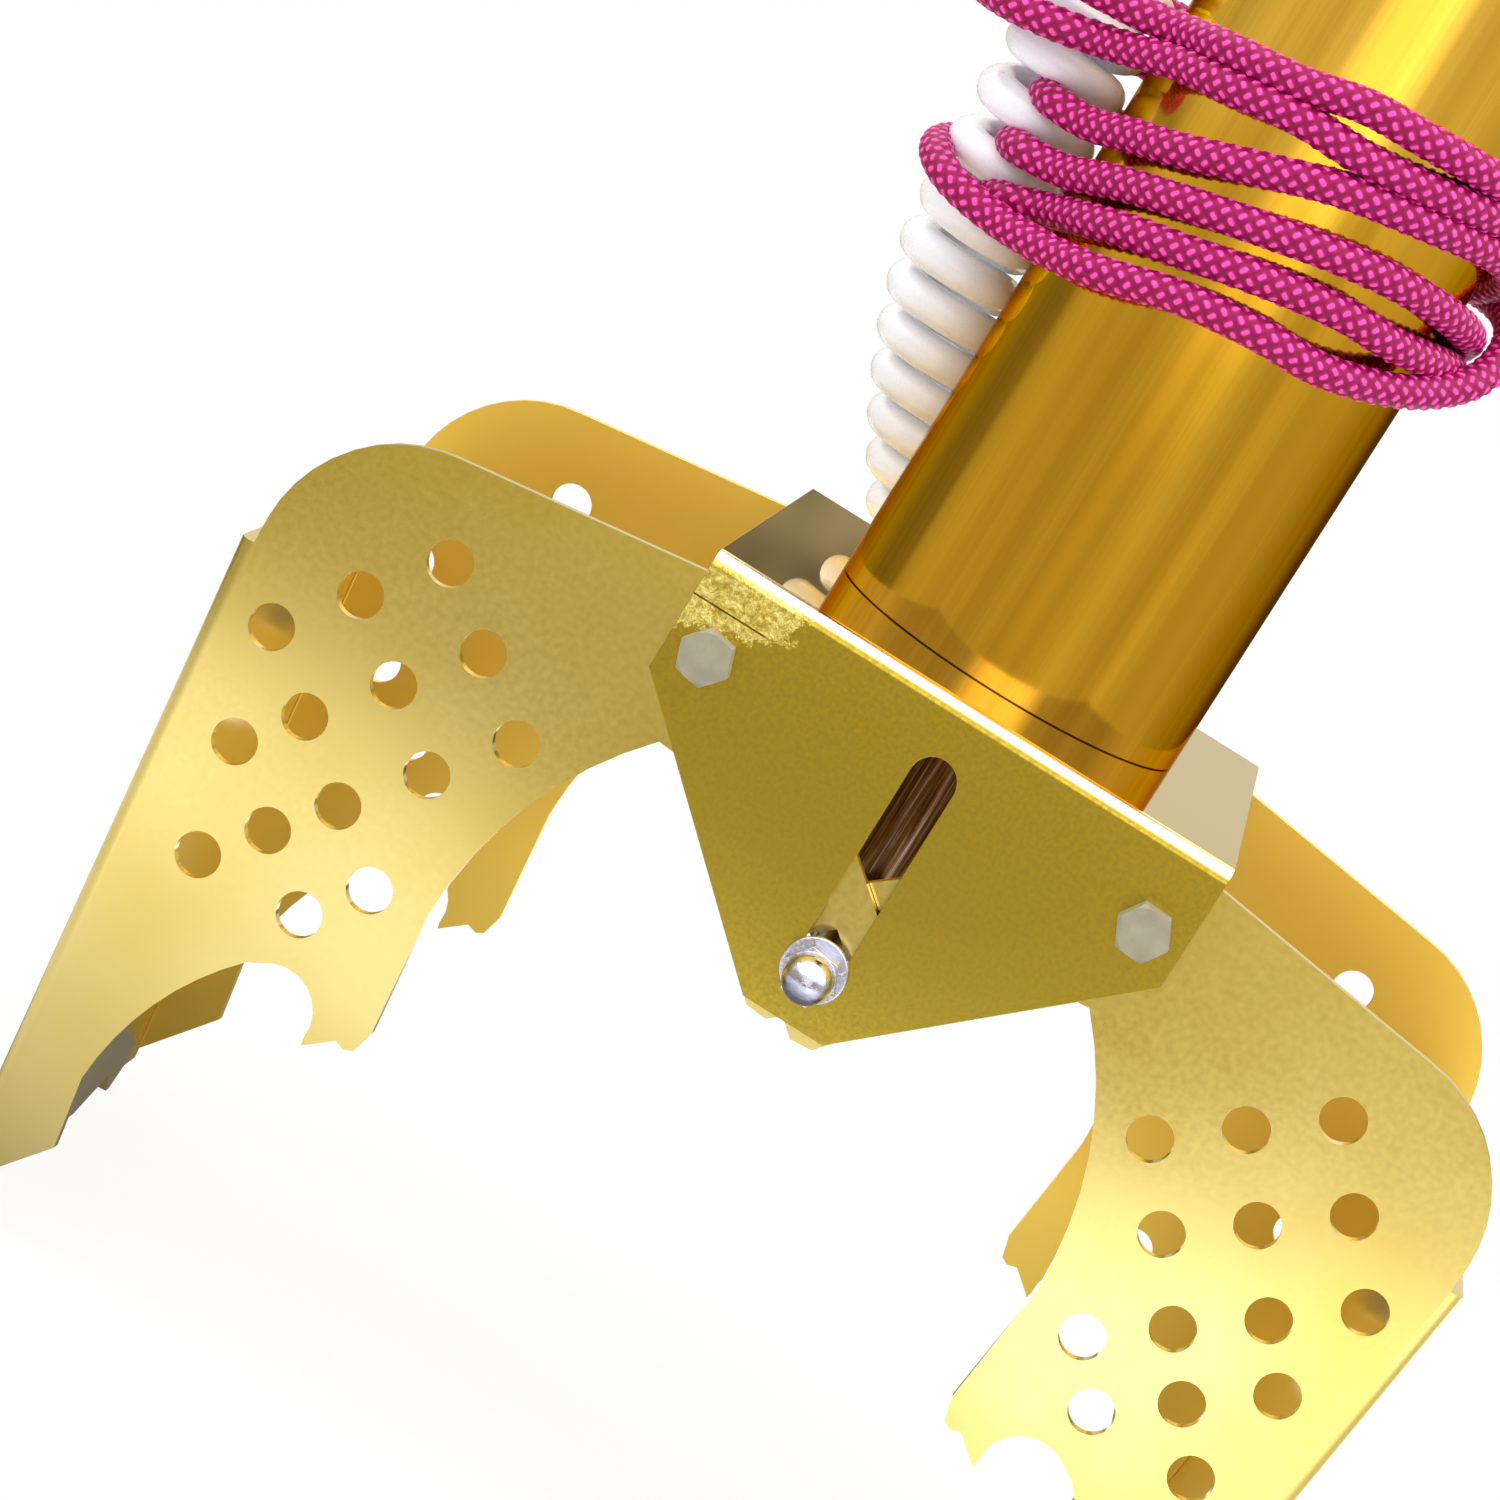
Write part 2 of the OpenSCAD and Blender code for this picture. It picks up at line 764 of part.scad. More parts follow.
core_stem_d = 10;
core_nut_af = 16;
module fixed_core() {
  color(zinc)
    rotate_extrude()
      difference() {
        union() {
          translate([0, core_z])
            square([guide_id / 2 - run_clear, bobbin_top - core_z]);
          translate([0, bobbin_top - e])
            square([core_stem_d / 2, pole_t + core_nut_h + stem_spare]);
        }
        translate([0, core_z - 1])
          square([spring_od / 2 + seat_clear, core_seat + 1]);
      }
}

module top_pole_plate() {
  color(zinc)
    translate([0, 0, bobbin_top])
      difference() {
        cylinder(d = insert_d, h = pole_t);
        translate([0, 0, -1])
          cylinder(d = core_stem_d, h = pole_t + 2);
        rotate([0, 0, gland_a])
          translate([gland_off, 0, -1])
            cylinder(d = cable_d, h = pole_t + 2);
      }
}

module core_nut() {
  color(steel)
    translate([0, 0, bobbin_top + pole_t])
      difference() {
        cylinder(d = core_nut_af / cos(30), h = core_nut_h, $fn = 6);
        translate([0, 0, -1])
          cylinder(d = core_stem_d, h = core_nut_h + 2);
      }
}

// ---- Top -----------------------------------------------------------------

module top_cap() {
  chamfer = 1.5;
  color(gold)
    difference() {
      rotate_extrude($fn = 96)
        polygon([
          [0, tube_top - spigot_h], [insert_d / 2, tube_top - spigot_h], [insert_d / 2, tube_top],
          [tube_od / 2, tube_top], [tube_od / 2, cap_top - chamfer],
          [tube_od / 2 - chamfer, cap_top], [0, cap_top]
        ]);
      translate([0, 0, tube_top - spigot_h - 1])
        cylinder(d = eye_stem_d, h = cap_h + spigot_h + 2);
      translate([gland_x, gland_y, tube_top - spigot_h - 1])
        cylinder(d = gland_thread_d, h = cap_h + spigot_h + 2);
      cap_screw_places()
        translate([0, 0, insert_d / 2 - cap_screw_l])
          cylinder(d = cap_screw_d, h = cap_screw_l + tube_wall + 2);
    }
}

// Grub screws, flush with the tube
module cap_screws() {
  color(zinc)
    intersection() {
      cap_screw_places()
        translate([0, 0, insert_d / 2 - cap_screw_l])
          cylinder(d = cap_screw_d, h = cap_screw_l + tube_wall + 2);
      translate([0, 0, tube_top - spigot_h])
        cylinder(d = tube_od - 0.2, h = spigot_h);
    }
}

eye_washer_t = 2;
eye_nut_af = 13;
eye_z = cap_top + eye_neck + eye_ring_d / 2;
stem_low = tube_top - spigot_h - eye_nut_h - stem_spare;
module hanging_eye() {
  color(steel)
    difference() {
      union() {
        bar_y(0, -eye_t / 2, eye_z, eye_ring_d, eye_t);
        translate([0, 0, cap_top - e])
          cylinder(d = eye_stem_d, h = eye_neck + 3);
        translate([0, 0, cap_top])
          cylinder(d = eye_stem_d + 6, h = eye_washer_t);
        translate([0, 0, stem_low])
          cylinder(d = eye_stem_d, h = cap_top - stem_low);
      }
      bar_y(0, -eye_t, eye_z, eye_bore_d, 2 * eye_t);
    }
}

module eye_nut() {
  color(zinc)
    translate([0, 0, tube_top - spigot_h - eye_nut_h])
      difference() {
        cylinder(d = eye_nut_af / cos(30), h = eye_nut_h, $fn = 6);
        translate([0, 0, -1])
          cylinder(d = eye_stem_d, h = eye_nut_h + 2);
      }
}

gland_af = 13;
gland_thread_d = 10;
gland_thread_l = 5;
gland_hex_h = 3.5;
gland_neck_h = 3;
gland_nut_h = 4;
gland_cone = [12.6, 9.6];
gland_h = 10;
module gland_body() {
  low = tube_top - spigot_h - gland_thread_l;
  color(black)
    translate([gland_x, gland_y, 0])
      difference() {
        union() {
          translate([0, 0, cap_top])
            cylinder(d = gland_af / cos(30), h = gland_hex_h, $fn = 6);
          translate([0, 0, low])
            cylinder(d = gland_thread_d, h = cap_top + gland_hex_h + gland_neck_h - low);
        }
        translate([0, 0, low - 1])
          cylinder(d = gland_bore, h = 60);
      }
}

module gland_nut() {
  color(black)
    translate([gland_x, gland_y, cap_top + gland_hex_h])
      difference() {
        union() {
          cylinder(d = gland_af / cos(30), h = gland_nut_h, $fn = 6);
          translate([0, 0, gland_nut_h - e])
            cylinder(d1 = gland_cone[0], d2 = gland_cone[1], h = gland_h - gland_hex_h - gland_nut_h);
        }
        translate([0, 0, -1])
          cylinder(d = gland_thread_d, h = gland_neck_h + 1);
        cylinder(d = gland_bore, h = 20);
      }
}

gland_lock_h = 3;
module gland_lock_nut() {
  color(black)
    translate([gland_x, gland_y, tube_top - spigot_h - gland_lock_h])
      difference() {
        cylinder(d = gland_af / cos(30), h = gland_lock_h, $fn = 6);
        translate([0, 0, -1])
          cylinder(d = gland_thread_d, h = gland_lock_h + 2);
      }
}

// ---- Cord and rope -------------------------------------------------------

module cable_lead() {
  color("white")
    sweep(smooth_path(lead_points, 3), cable_d / 2, 10);
}

module curly_cord() {
  color("white")
    sweep(smooth_path(curl_points, 4), curl_r, 24);
}

module cable_tail() {
  color("white")
    sweep(smooth_path(tail_points, 3), cable_d / 2, 10);
}

plug_wall = 1.2;
plug_depth = 7;
module cable_plug() {
  color("white")
    translate(plug_at)
      difference() {
        translate([0, -plug[1] / 2, -plug[2] / 2])
          cube(plug);
        translate([plug[0] - plug_depth, plug_wall - plug[1] / 2, plug_wall - plug[2] / 2])
          cube([plug_depth + 1, plug[1] - 2 * plug_wall, plug[2] - 2 * plug_wall]);
      }
}

pin_d = 1.3;
pin_apart = 3.8;
module plug_pins() {
  color("silver")
    for (s = [-1, 1])
      translate(plug_at + [plug[0] - plug_depth, s * pin_apart / 2, 0])
        rotate([0, 90, 0])
          cylinder(d = pin_d, h = plug_depth - 1);
}

// Rope wrapped round the housing and the curl together
module wrap_shape(grow) {
  at = curl_at([174, 0.6, 0]);
  hull() {
    circle(r = tube_od / 2 + 0.3 + grow, $fn = 48);
    translate([at[0], at[1]])
      circle(r = wrap_hug + grow, $fn = 32);
  }
}

module rope_wrap() {
  color("mediumvioletred")
    translate([0, 0, wrap_z])
      linear_extrude(height = wrap_h)
        difference() {
          wrap_shape(rope_d);
          wrap_shape(0);
        }
}

module rope_lead() {
  color("mediumvioletred")
    sweep(smooth_path(rope_points, 3), rope_d / 2, 10);
}

module rope_knot() {
  color("mediumvioletred")
    translate([0, 0, cap_top + eye_washer_t + rope_d / 2])
      rotate_extrude()
        translate([eye_stem_d / 2 + rope_d / 2, 0])
          circle(d = rope_d, $fn = 24);
}

// ---- Nodes ---------------------------------------------------------------

bracket();
pivot_bolt_left();
pivot_bolt_right();
pivot_nuts();
spacer_sleeves();
spacer_washers();
thin_shims();
jaw_left();
jaw_right();
drive_stud();
stud_washers();
cap_nut_front();
cap_nut_back();
stud_lock_nuts();
plunger_rod();
plunger();
return_spring();
housing_tube();
base_pole_plate();
base_screws();
guide_sleeve();
bobbin();
winding();
fixed_core();
top_pole_plate();
core_nut();
top_cap();
cap_screws();
hanging_eye();
eye_nut();
gland_body();
gland_nut();
gland_lock_nut();
cable_lead();
curly_cord();
cable_tail();
cable_plug();
plug_pins();
rope_wrap();
rope_lead();
rope_knot();
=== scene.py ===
"""Two-jaw solenoid grab: finishes, curly cord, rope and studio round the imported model."""
import json
import math
from functools import partial

import bmesh
import bpy
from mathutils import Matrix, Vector


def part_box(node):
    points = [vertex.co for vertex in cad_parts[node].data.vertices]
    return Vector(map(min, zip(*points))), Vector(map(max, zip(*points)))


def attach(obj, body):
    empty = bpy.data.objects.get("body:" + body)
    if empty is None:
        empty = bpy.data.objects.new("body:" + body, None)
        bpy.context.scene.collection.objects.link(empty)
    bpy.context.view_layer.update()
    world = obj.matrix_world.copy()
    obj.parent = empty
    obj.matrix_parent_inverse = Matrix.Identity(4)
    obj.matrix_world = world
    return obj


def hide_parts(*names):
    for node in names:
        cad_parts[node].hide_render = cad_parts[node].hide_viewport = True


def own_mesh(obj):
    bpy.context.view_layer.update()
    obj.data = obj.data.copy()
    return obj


bl_info = {
    "name": "Solenoid grab",
    "version": (1, 0, 0),
    "blender": (4, 5, 0),
    "location": "View3D > Sidebar > Grab",
    "description": "Dresses a two-jaw solenoid grab with its finishes, cord, rope and studio",
    "category": "Object",
}

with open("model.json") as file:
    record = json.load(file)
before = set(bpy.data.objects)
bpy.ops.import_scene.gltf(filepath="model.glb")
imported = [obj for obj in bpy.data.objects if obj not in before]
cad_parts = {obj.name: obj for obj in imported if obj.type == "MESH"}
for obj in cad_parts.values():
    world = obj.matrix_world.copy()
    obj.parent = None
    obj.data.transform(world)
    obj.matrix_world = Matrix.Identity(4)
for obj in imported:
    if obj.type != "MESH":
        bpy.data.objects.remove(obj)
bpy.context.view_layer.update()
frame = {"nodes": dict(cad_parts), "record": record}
NODES = frame["nodes"]
MM = 0.001
BASE_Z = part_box("bracket")[1][2] / MM
FRONT_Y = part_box("bracket")[0][1] / MM
CAP_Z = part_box("top_cap")[1][2] / MM
TUBE_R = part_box("housing_tube")[1][0] / MM
PIVOT_X, PIVOT_Z, PIVOT_D = 37.5, BASE_Z - 14.3, 5
HEAD_TURNS = (49, 57)
SHEET_T = 2
SCREW_RING, SCREW_HEAD = 20, 7.6
SHARP_DEG = 32
CURVE_STEPS = 24
COS_30 = math.cos(math.radians(30))


# ---- Sizes and colours that a user would change --------------------------


def linear(hex_value):
    """An sRGB hex value as a linear colour."""
    parts = [int(hex_value[i:i + 2], 16) / 255 for i in (1, 3, 5)]
    return [c / 12.92 if c <= 0.04045 else ((c + 0.055) / 1.055) ** 2.4 for c in parts] + [1.0]


def size(name, text, in_mm, least, most):
    return bpy.props.FloatProperty(
        name=name, description=text, default=in_mm * MM, min=least * MM, max=most * MM,
        unit="LENGTH", precision=5)


def colour(name, text, hex_value):
    return bpy.props.FloatVectorProperty(
        name=name, description=text, default=linear(hex_value), size=4, min=0, max=1, subtype="COLOR")


class GrabSizes(bpy.types.PropertyGroup):
    """Sizes of the soft pieces, the fasteners and the softened edges."""

    rope_d: size("Rope", "Diameter of the braided rope", 5.6, 4, 7)
    braid_lead: size("Braid lead", "Length in which a yarn goes once round the rope", 15.5, 12, 30)
    pick: size("Pick", "Height of the rope's raised picks", 0.5, 0.1, 0.8)
    cable_d: size("Cable", "Diameter of the curly cord's cable", 6.4, 5, 7)
    curl_d: size("Curl", "Outside diameter of the curl", 21.6, 18, 25)
    head_af: size("Pivot head", "Pivot head and nut across the flats", 7.7, 6, 10)
    screw_socket: size("Screw socket", "Base screw's socket across the flats", 2.5, 1.5, 4)
    sheet_edge: size("Sheet edge", "Width of the folded sheet's rolled edges", 0.75, 0.05, 0.8)
    turned_edge: size("Turned edge", "Width of the turned parts' broken edges", 0.3, 0.05, 0.6)


class GrabColours(bpy.types.PropertyGroup):
    """Colours of the finishes."""

    sheet: colour("Coated sheet", "Titanium nitride coat on the jaws' folded sheet", "#EFDA90")
    sheet_deep: colour("Coated sheet, deep", "Thicker coat in the sheet's deeper patches", "#E4CA70")
    bracket: colour("Bracket", "The coat on the bracket's mottled sheet", "#CAB045")
    film: colour("Film", "Torn protective film on the bracket", "#FFF0A0")
    tube: colour("Polished tube", "Titanium nitride coat on the polished tube", "#F1C14B")
    zinc: colour("Zinc plate", "Dull zinc plate of the pivot heads", "#A39D86")
    nickel: colour("Nickel plate", "Bright nickel plate of the cap nuts", "#D2D2EA")
    steel: colour("Burnished steel", "Burnished rod and plunger", "#6E4E30")
    rope: colour("Rope", "Dyed polyester yarn of the rope", "#9A0050")
    # A painted highlight: the colour given to the lit crests of the rope's picks
    rope_pick_highlight: colour("Rope picks", "Yarn on the rope's raised picks", "#FF58B8")
    cable: colour("Cable", "Polyurethane jacket of the curly cord", "#F9FAFF")
    nylon: colour("Black nylon", "Moulded nylon of the cable gland", "#1B1B1D")
    ground: colour("Ground", "Floor and backdrop", "#FFFFFF")
    room: colour("Room", "What metal shows of the room beyond the paper", "#B2A873")


def millimetres(key):
    """A size in millimetres."""
    return getattr(bpy.context.scene.grab_sizes, key) / MM


def colours():
    return bpy.context.scene.grab_colours


# ---- Finishes ------------------------------------------------------------


def add(tree, kind, links=(), stops=(), **settings):
    """Adds a node with its settings, a ramp's stops, and its inputs: values, or nodes and sockets to link.

    A list holds the inputs in their order, and a dictionary names them."""
    node = tree.nodes.new(kind)
    for key, value in settings.items():
        setattr(node, key, value)
    if isinstance(links, dict):
        links = [(node.inputs[key], value) for key, value in links.items()]
    else:
        links = zip([socket for socket in node.inputs if socket.enabled], links)
    for socket, value in links:
        many = isinstance(value, list) and isinstance(value[0], bpy.types.Node)
        for source in value if many else [value]:
            if isinstance(source, bpy.types.Node):
                source = next(output for output in source.outputs if output.enabled)
            if isinstance(source, bpy.types.NodeSocket):
                tree.links.new(source, socket)
            else:
                socket.default_value = source
    for i, (place, value) in enumerate(stops):
        points = node.color_ramp.elements
        point = points[i] if i < 2 else points.new(place)
        point.position, point.color = place, value
    return node


def finish_of(name, build):
    """A material whose nodes build(node) adds: it returns a shader, or the inputs of a principled one."""
    material = bpy.data.materials.new(name)
    material.use_nodes = True
    material.node_tree.nodes.clear()
    node = partial(add, material.node_tree)
    surface = build(node)
    if isinstance(surface, dict):
        surface = node("ShaderNodeBsdfPrincipled", surface)
    node("ShaderNodeOutputMaterial", {"Surface": surface})
    return material


def darker(tone, share):
    """A colour dimmed to a share of its brightness."""
    return [share * v for v in tone[:3]] + [1.0]


def grain(node, where, across, spread, low=0.0, high=1.0, **more):
    """Noise across mm wide, and the same noise with its spread stretched from low to high."""
    noise = node("ShaderNodeTexNoise", {"Vector": where, "Scale": 1 / across, **more})
    return noise, node("ShaderNodeMapRange", [noise, *spread, low, high])


def piece_mm(node, stretch=(1, 1, 1)):
    """The piece's own coordinates in millimetres, stretched along the axes."""
    where = node("ShaderNodeTexCoord").outputs["Object"]
    return node("ShaderNodeMapping", {"Vector": where, "Scale": [s / MM for s in stretch]})


# Where the jaws' rear plates begin: the two ends of a short blend, in Y
REAR_PLATES = (40.0, 44.0)
# The film on the bracket: the slope of its lower border, that border's height over the top where X is 0,
# the film's right end in X, and how far a crease in it lies under the top
FILM_SLOPE, FILM_RISE, FILM_RIGHT, FILM_CREASE = 0.38, 3.4, -28.0, 7.4


def coated_sheet(node):
    """Stainless sheet, cold rolled, with a titanium nitride coat: satin gold.

    It spreads reflections softly, with a grain of about 1 mm and slow waves left by the rolls."""
    c = colours()
    where = piece_mm(node)
    _, share = grain(node, where, 55, (0.35, 0.65), Detail=3.0)
    tone = node("ShaderNodeMix", [share, c.sheet, c.sheet_deep], data_type="RGBA")
    fine, rough = grain(node, where, 1.1, (0.3, 0.7), 0.17, 0.22, Detail=3.0, Roughness=0.6)
    # The rear plates are duller sheet with softer reflections. Their deeper gold is painted, and stands in
    # for the warm light they reflect
    depth = node("ShaderNodeSeparateXYZ", [where]).outputs["Y"]
    rear = node("ShaderNodeMapRange", [depth, *REAR_PLATES])
    rough = node("ShaderNodeMix", [rear, rough, 0.36], data_type="FLOAT")
    tone = node("ShaderNodeMix", [rear, tone, linear("#F2CE60")], data_type="RGBA")
    rolled = node("ShaderNodeTexNoise", {"Vector": where, "Scale": 1 / 30, "Detail": 1.0})
    waves = node("ShaderNodeBump", {"Height": rolled, "Distance": 0.1 * MM})
    relief = node(
        "ShaderNodeBump", {"Height": fine, "Distance": 0.004 * MM, "Strength": 0.6, "Normal": waves})
    return {"Base Color": tone, "Metallic": 1.0, "Roughness": rough, "Normal": relief}


def bracket_sheet(node):
    """The same coat on thicker sheet: finely mottled on the upright plates and mirror bright on top.

    Round the upper left pivot some protective film is left, paler and crinkled, with a torn border."""
    c = colours()
    where = piece_mm(node)
    x, y, z = node("ShaderNodeSeparateXYZ", [where]).outputs
    mottle, spots = grain(node, where, 0.8, (0.36, 0.66), Detail=3.0, Roughness=0.65)
    tone = node("ShaderNodeMix", [spots, c.bracket, darker(c.bracket, 0.74)], data_type="RGBA")
    # The film's border: 0 along a sloping line over the pivot and at its right end, in mm
    slope = node("ShaderNodeMath", [x, -FILM_SLOPE, -FILM_RISE - BASE_Z], operation="MULTIPLY_ADD")
    above = node("ShaderNodeMath", [slope, z], operation="ADD")
    right = node("ShaderNodeMath", [FILM_RIGHT, x], operation="SUBTRACT")
    inside = node("ShaderNodeMath", [above, right], operation="MINIMUM")
    torn = node("ShaderNodeTexNoise", {"Vector": where, "Scale": 1 / 3, "Detail": 4.0, "Roughness": 0.7})
    ragged = node("ShaderNodeMath", [torn, 12.0, -6.0], operation="MULTIPLY_ADD")
    edge = node("ShaderNodeMath", [inside, ragged], operation="ADD")
    front = node("ShaderNodeMath", [y, 0.0], operation="LESS_THAN")
    film = node("ShaderNodeMapRange", [edge, 0.0, 1.2])
    film = node("ShaderNodeMath", [film, front], operation="MULTIPLY")
    crinkle, folds = grain(
        node, where, 1.6, (0.38, 0.62), Detail=4.0, Roughness=0.7, Distortion=1.5)
    shiny = node("ShaderNodeMix", [folds, c.bracket, c.film], data_type="RGBA")
    tone = node("ShaderNodeMix", [film, tone, shiny], data_type="RGBA")
    # A dark line along the film's crease: painted shade in its fold
    crease_shade = node("ShaderNodeMath", [z, BASE_Z - FILM_CREASE, 0.14], operation="COMPARE")
    crease_shade = node("ShaderNodeMath", [crease_shade, film], operation="MULTIPLY")
    tone = node("ShaderNodeMix", [crease_shade, tone, linear("#6E5A18")], data_type="RGBA")
    # Along the two folds a near-white highlight is painted where they catch the light overhead, with softer
    # reflections
    sides = node("ShaderNodeMath", [y], operation="ABSOLUTE")
    across = node("ShaderNodeCombineXYZ", {"Y": sides, "Z": z})
    off = node("ShaderNodeVectorMath", [across, (0, -FRONT_Y, BASE_Z)], operation="DISTANCE").outputs["Value"]
    fold_highlight = node("ShaderNodeMapRange", [off, 1.3, 1.55, 1.0, 0.0])
    top = node("ShaderNodeMapRange", [z, BASE_Z - 0.12, BASE_Z - 0.06])
    satin = node("ShaderNodeMapRange", [mottle, 0.3, 0.7, 0.19, 0.26])
    rough = node("ShaderNodeMix", [top, satin, 0.03], data_type="FLOAT")
    tone = node("ShaderNodeMix", [top, tone, linear("#F1CF70")], data_type="RGBA")
    tone = node("ShaderNodeMix", [fold_highlight, tone, linear("#FFFCF2")], data_type="RGBA")
    rough = node("ShaderNodeMix", [fold_highlight, rough, 0.3], data_type="FLOAT")
    puckered = node("ShaderNodeMath", [film, crinkle], operation="MULTIPLY")
    height = node("ShaderNodeMath", [puckered, 8.0, mottle], operation="MULTIPLY_ADD")
    flat = node("ShaderNodeMapRange", [top, 0.0, 1.0, 1.0, 0.0])
    height = node("ShaderNodeMath", [height, flat], operation="MULTIPLY")
    relief = node("ShaderNodeBump", {"Height": height, "Distance": 0.012 * MM, "Strength": 0.8})
    return {"Base Color": tone, "Metallic": 1.0, "Roughness": rough, "Normal": relief}


def polished_tube(node):
    """Drawn steel tube, polished lengthwise and coated: mirror-like, with streaks along the tube."""
    c = colours()
    streak = node(
        "ShaderNodeTexNoise",
        {"Vector": piece_mm(node, (1, 1, 0.012)), "Scale": 1 / 1.6, "Detail": 3.0, "Roughness": 0.6})
    band = node(
        "ShaderNodeTexNoise", {"Vector": piece_mm(node, (1, 1, 0.006)), "Scale": 1 / 9, "Detail": 1.0})
    deep = [0.8 * c.tube[0], 0.74 * c.tube[1], 0.6 * c.tube[2], 1.0]
    lines = node("ShaderNodeMath", [streak, 0.5, band], operation="MULTIPLY_ADD")
    share = node("ShaderNodeMapRange", [lines, 0.62, 0.88])
    tone = node("ShaderNodeMix", [share, c.tube, deep], data_type="RGBA")
    # Where the tube stands on the bracket, a dark line is painted round its foot: painted shade in the gap
    # between tube and plate
    height = node("ShaderNodeSeparateXYZ", [piece_mm(node)]).outputs["Z"]
    joint_shade = node("ShaderNodeMapRange", [height, BASE_Z + 0.12, BASE_Z + 0.24, 1.0, 0.0])
    tone = node("ShaderNodeMix", [joint_shade, tone, linear("#5A2F0C")], data_type="RGBA")
    _, rough = grain(node, piece_mm(node), 14, (0.3, 0.7), 0.06, 0.11, Detail=3.0)
    relief = node("ShaderNodeBump", {"Height": lines, "Distance": 0.02 * MM, "Strength": 0.8})
    return {
        "Base Color": tone, "Metallic": 1.0, "Roughness": rough, "Specular Tint": linear("#C8923E"),
        "Normal": relief}


def plated(tone, low, high, speck_mm, depth_mm=0.01, metal=1.0):
    """Plated or machined metal: clouds of tarnish 3.5 mm across, and a speckle of speck_mm.

    Its roughness runs from low to high."""

    def build(node):
        where = piece_mm(node)
        _, share = grain(node, where, 3.5, (0.35, 0.7), 0.0, 0.8, Detail=3.0)
        shade = node("ShaderNodeMix", [share, list(tone), darker(tone, 0.74)], data_type="RGBA")
        speck, rough = grain(node, where, speck_mm, (0.3, 0.7), low, high, Detail=4.0, Roughness=0.65)
        relief = node("ShaderNodeBump", {"Height": speck, "Distance": depth_mm * MM, "Strength": 0.7})
        return {"Base Color": shade, "Metallic": metal, "Roughness": rough, "Normal": relief}

    return build


def burnished_steel(node):
    """Turned steel, burnished by sliding: dark brown, with streaks 0.7 mm wide along the stroke."""
    where = piece_mm(node, (1, 1, 0.03))
    streak = node("ShaderNodeTexNoise", {"Vector": where, "Scale": 1 / 0.7, "Detail": 3.0, "Roughness": 0.7})
    tone = node(
        "ShaderNodeValToRGB", {"Fac": streak},
        [(0.35, linear("#3A2412")), (0.65, linear("#9A9088")), (0.52, list(colours().steel))])
    relief = node("ShaderNodeBump", {"Height": streak, "Distance": 0.01 * MM, "Strength": 0.7})
    return {"Base Color": tone, "Metallic": 1.0, "Roughness": 0.28, "Normal": relief}


def moulded(tone, rough, shade=0.85, coat=0.0):
    """Moulded plastic or cable jacket: a fine moulding grain of 0.5 mm and faint clouds of 9 mm."""

    def build(node):
        where = piece_mm(node)
        _, share = grain(node, where, 9, (0.35, 0.75), Detail=3.0)
        mix = node("ShaderNodeMix", [share, list(tone), darker(tone, shade)], data_type="RGBA")
        fine, gloss = grain(node, where, 0.5, (0.3, 0.7), rough * 0.8, rough * 1.2)
        relief = node("ShaderNodeBump", {"Height": fine, "Distance": 0.01 * MM, "Strength": 0.4})
        return {
            "Base Color": mix, "Roughness": gloss, "IOR": 1.5, "Coat Weight": coat, "Coat Roughness": 0.1,
            "Normal": relief}

    return build


def wound_copper(node):
    """Enamelled copper wire, 0.5 mm, wound in layers: glossy brown rings round the former."""
    wire = node(
        "ShaderNodeTexWave", {"Vector": piece_mm(node), "Scale": 0.314 / 0.5, "Distortion": 0.0},
        wave_type="BANDS", bands_direction="Z")
    # Painted light on the wire: its crests are painted light brown and the grooves between the turns dark
    # brown, as highlight and shade
    tone = node(
        "ShaderNodeMix", [wire.outputs["Fac"], linear("#6E3414"), linear("#C9753C")], data_type="RGBA")
    relief = node("ShaderNodeBump", {"Height": wire.outputs["Fac"], "Distance": 0.2 * MM})
    return {"Base Color": tone, "Metallic": 1.0, "Roughness": 0.3, "Normal": relief}


# Yarns each way, a yarn's profile across the pick, and the pick's arch where it dives under its neighbours
YARNS, PICK_ACROSS, PICK_ALONG = 6, 1.6, 4.0


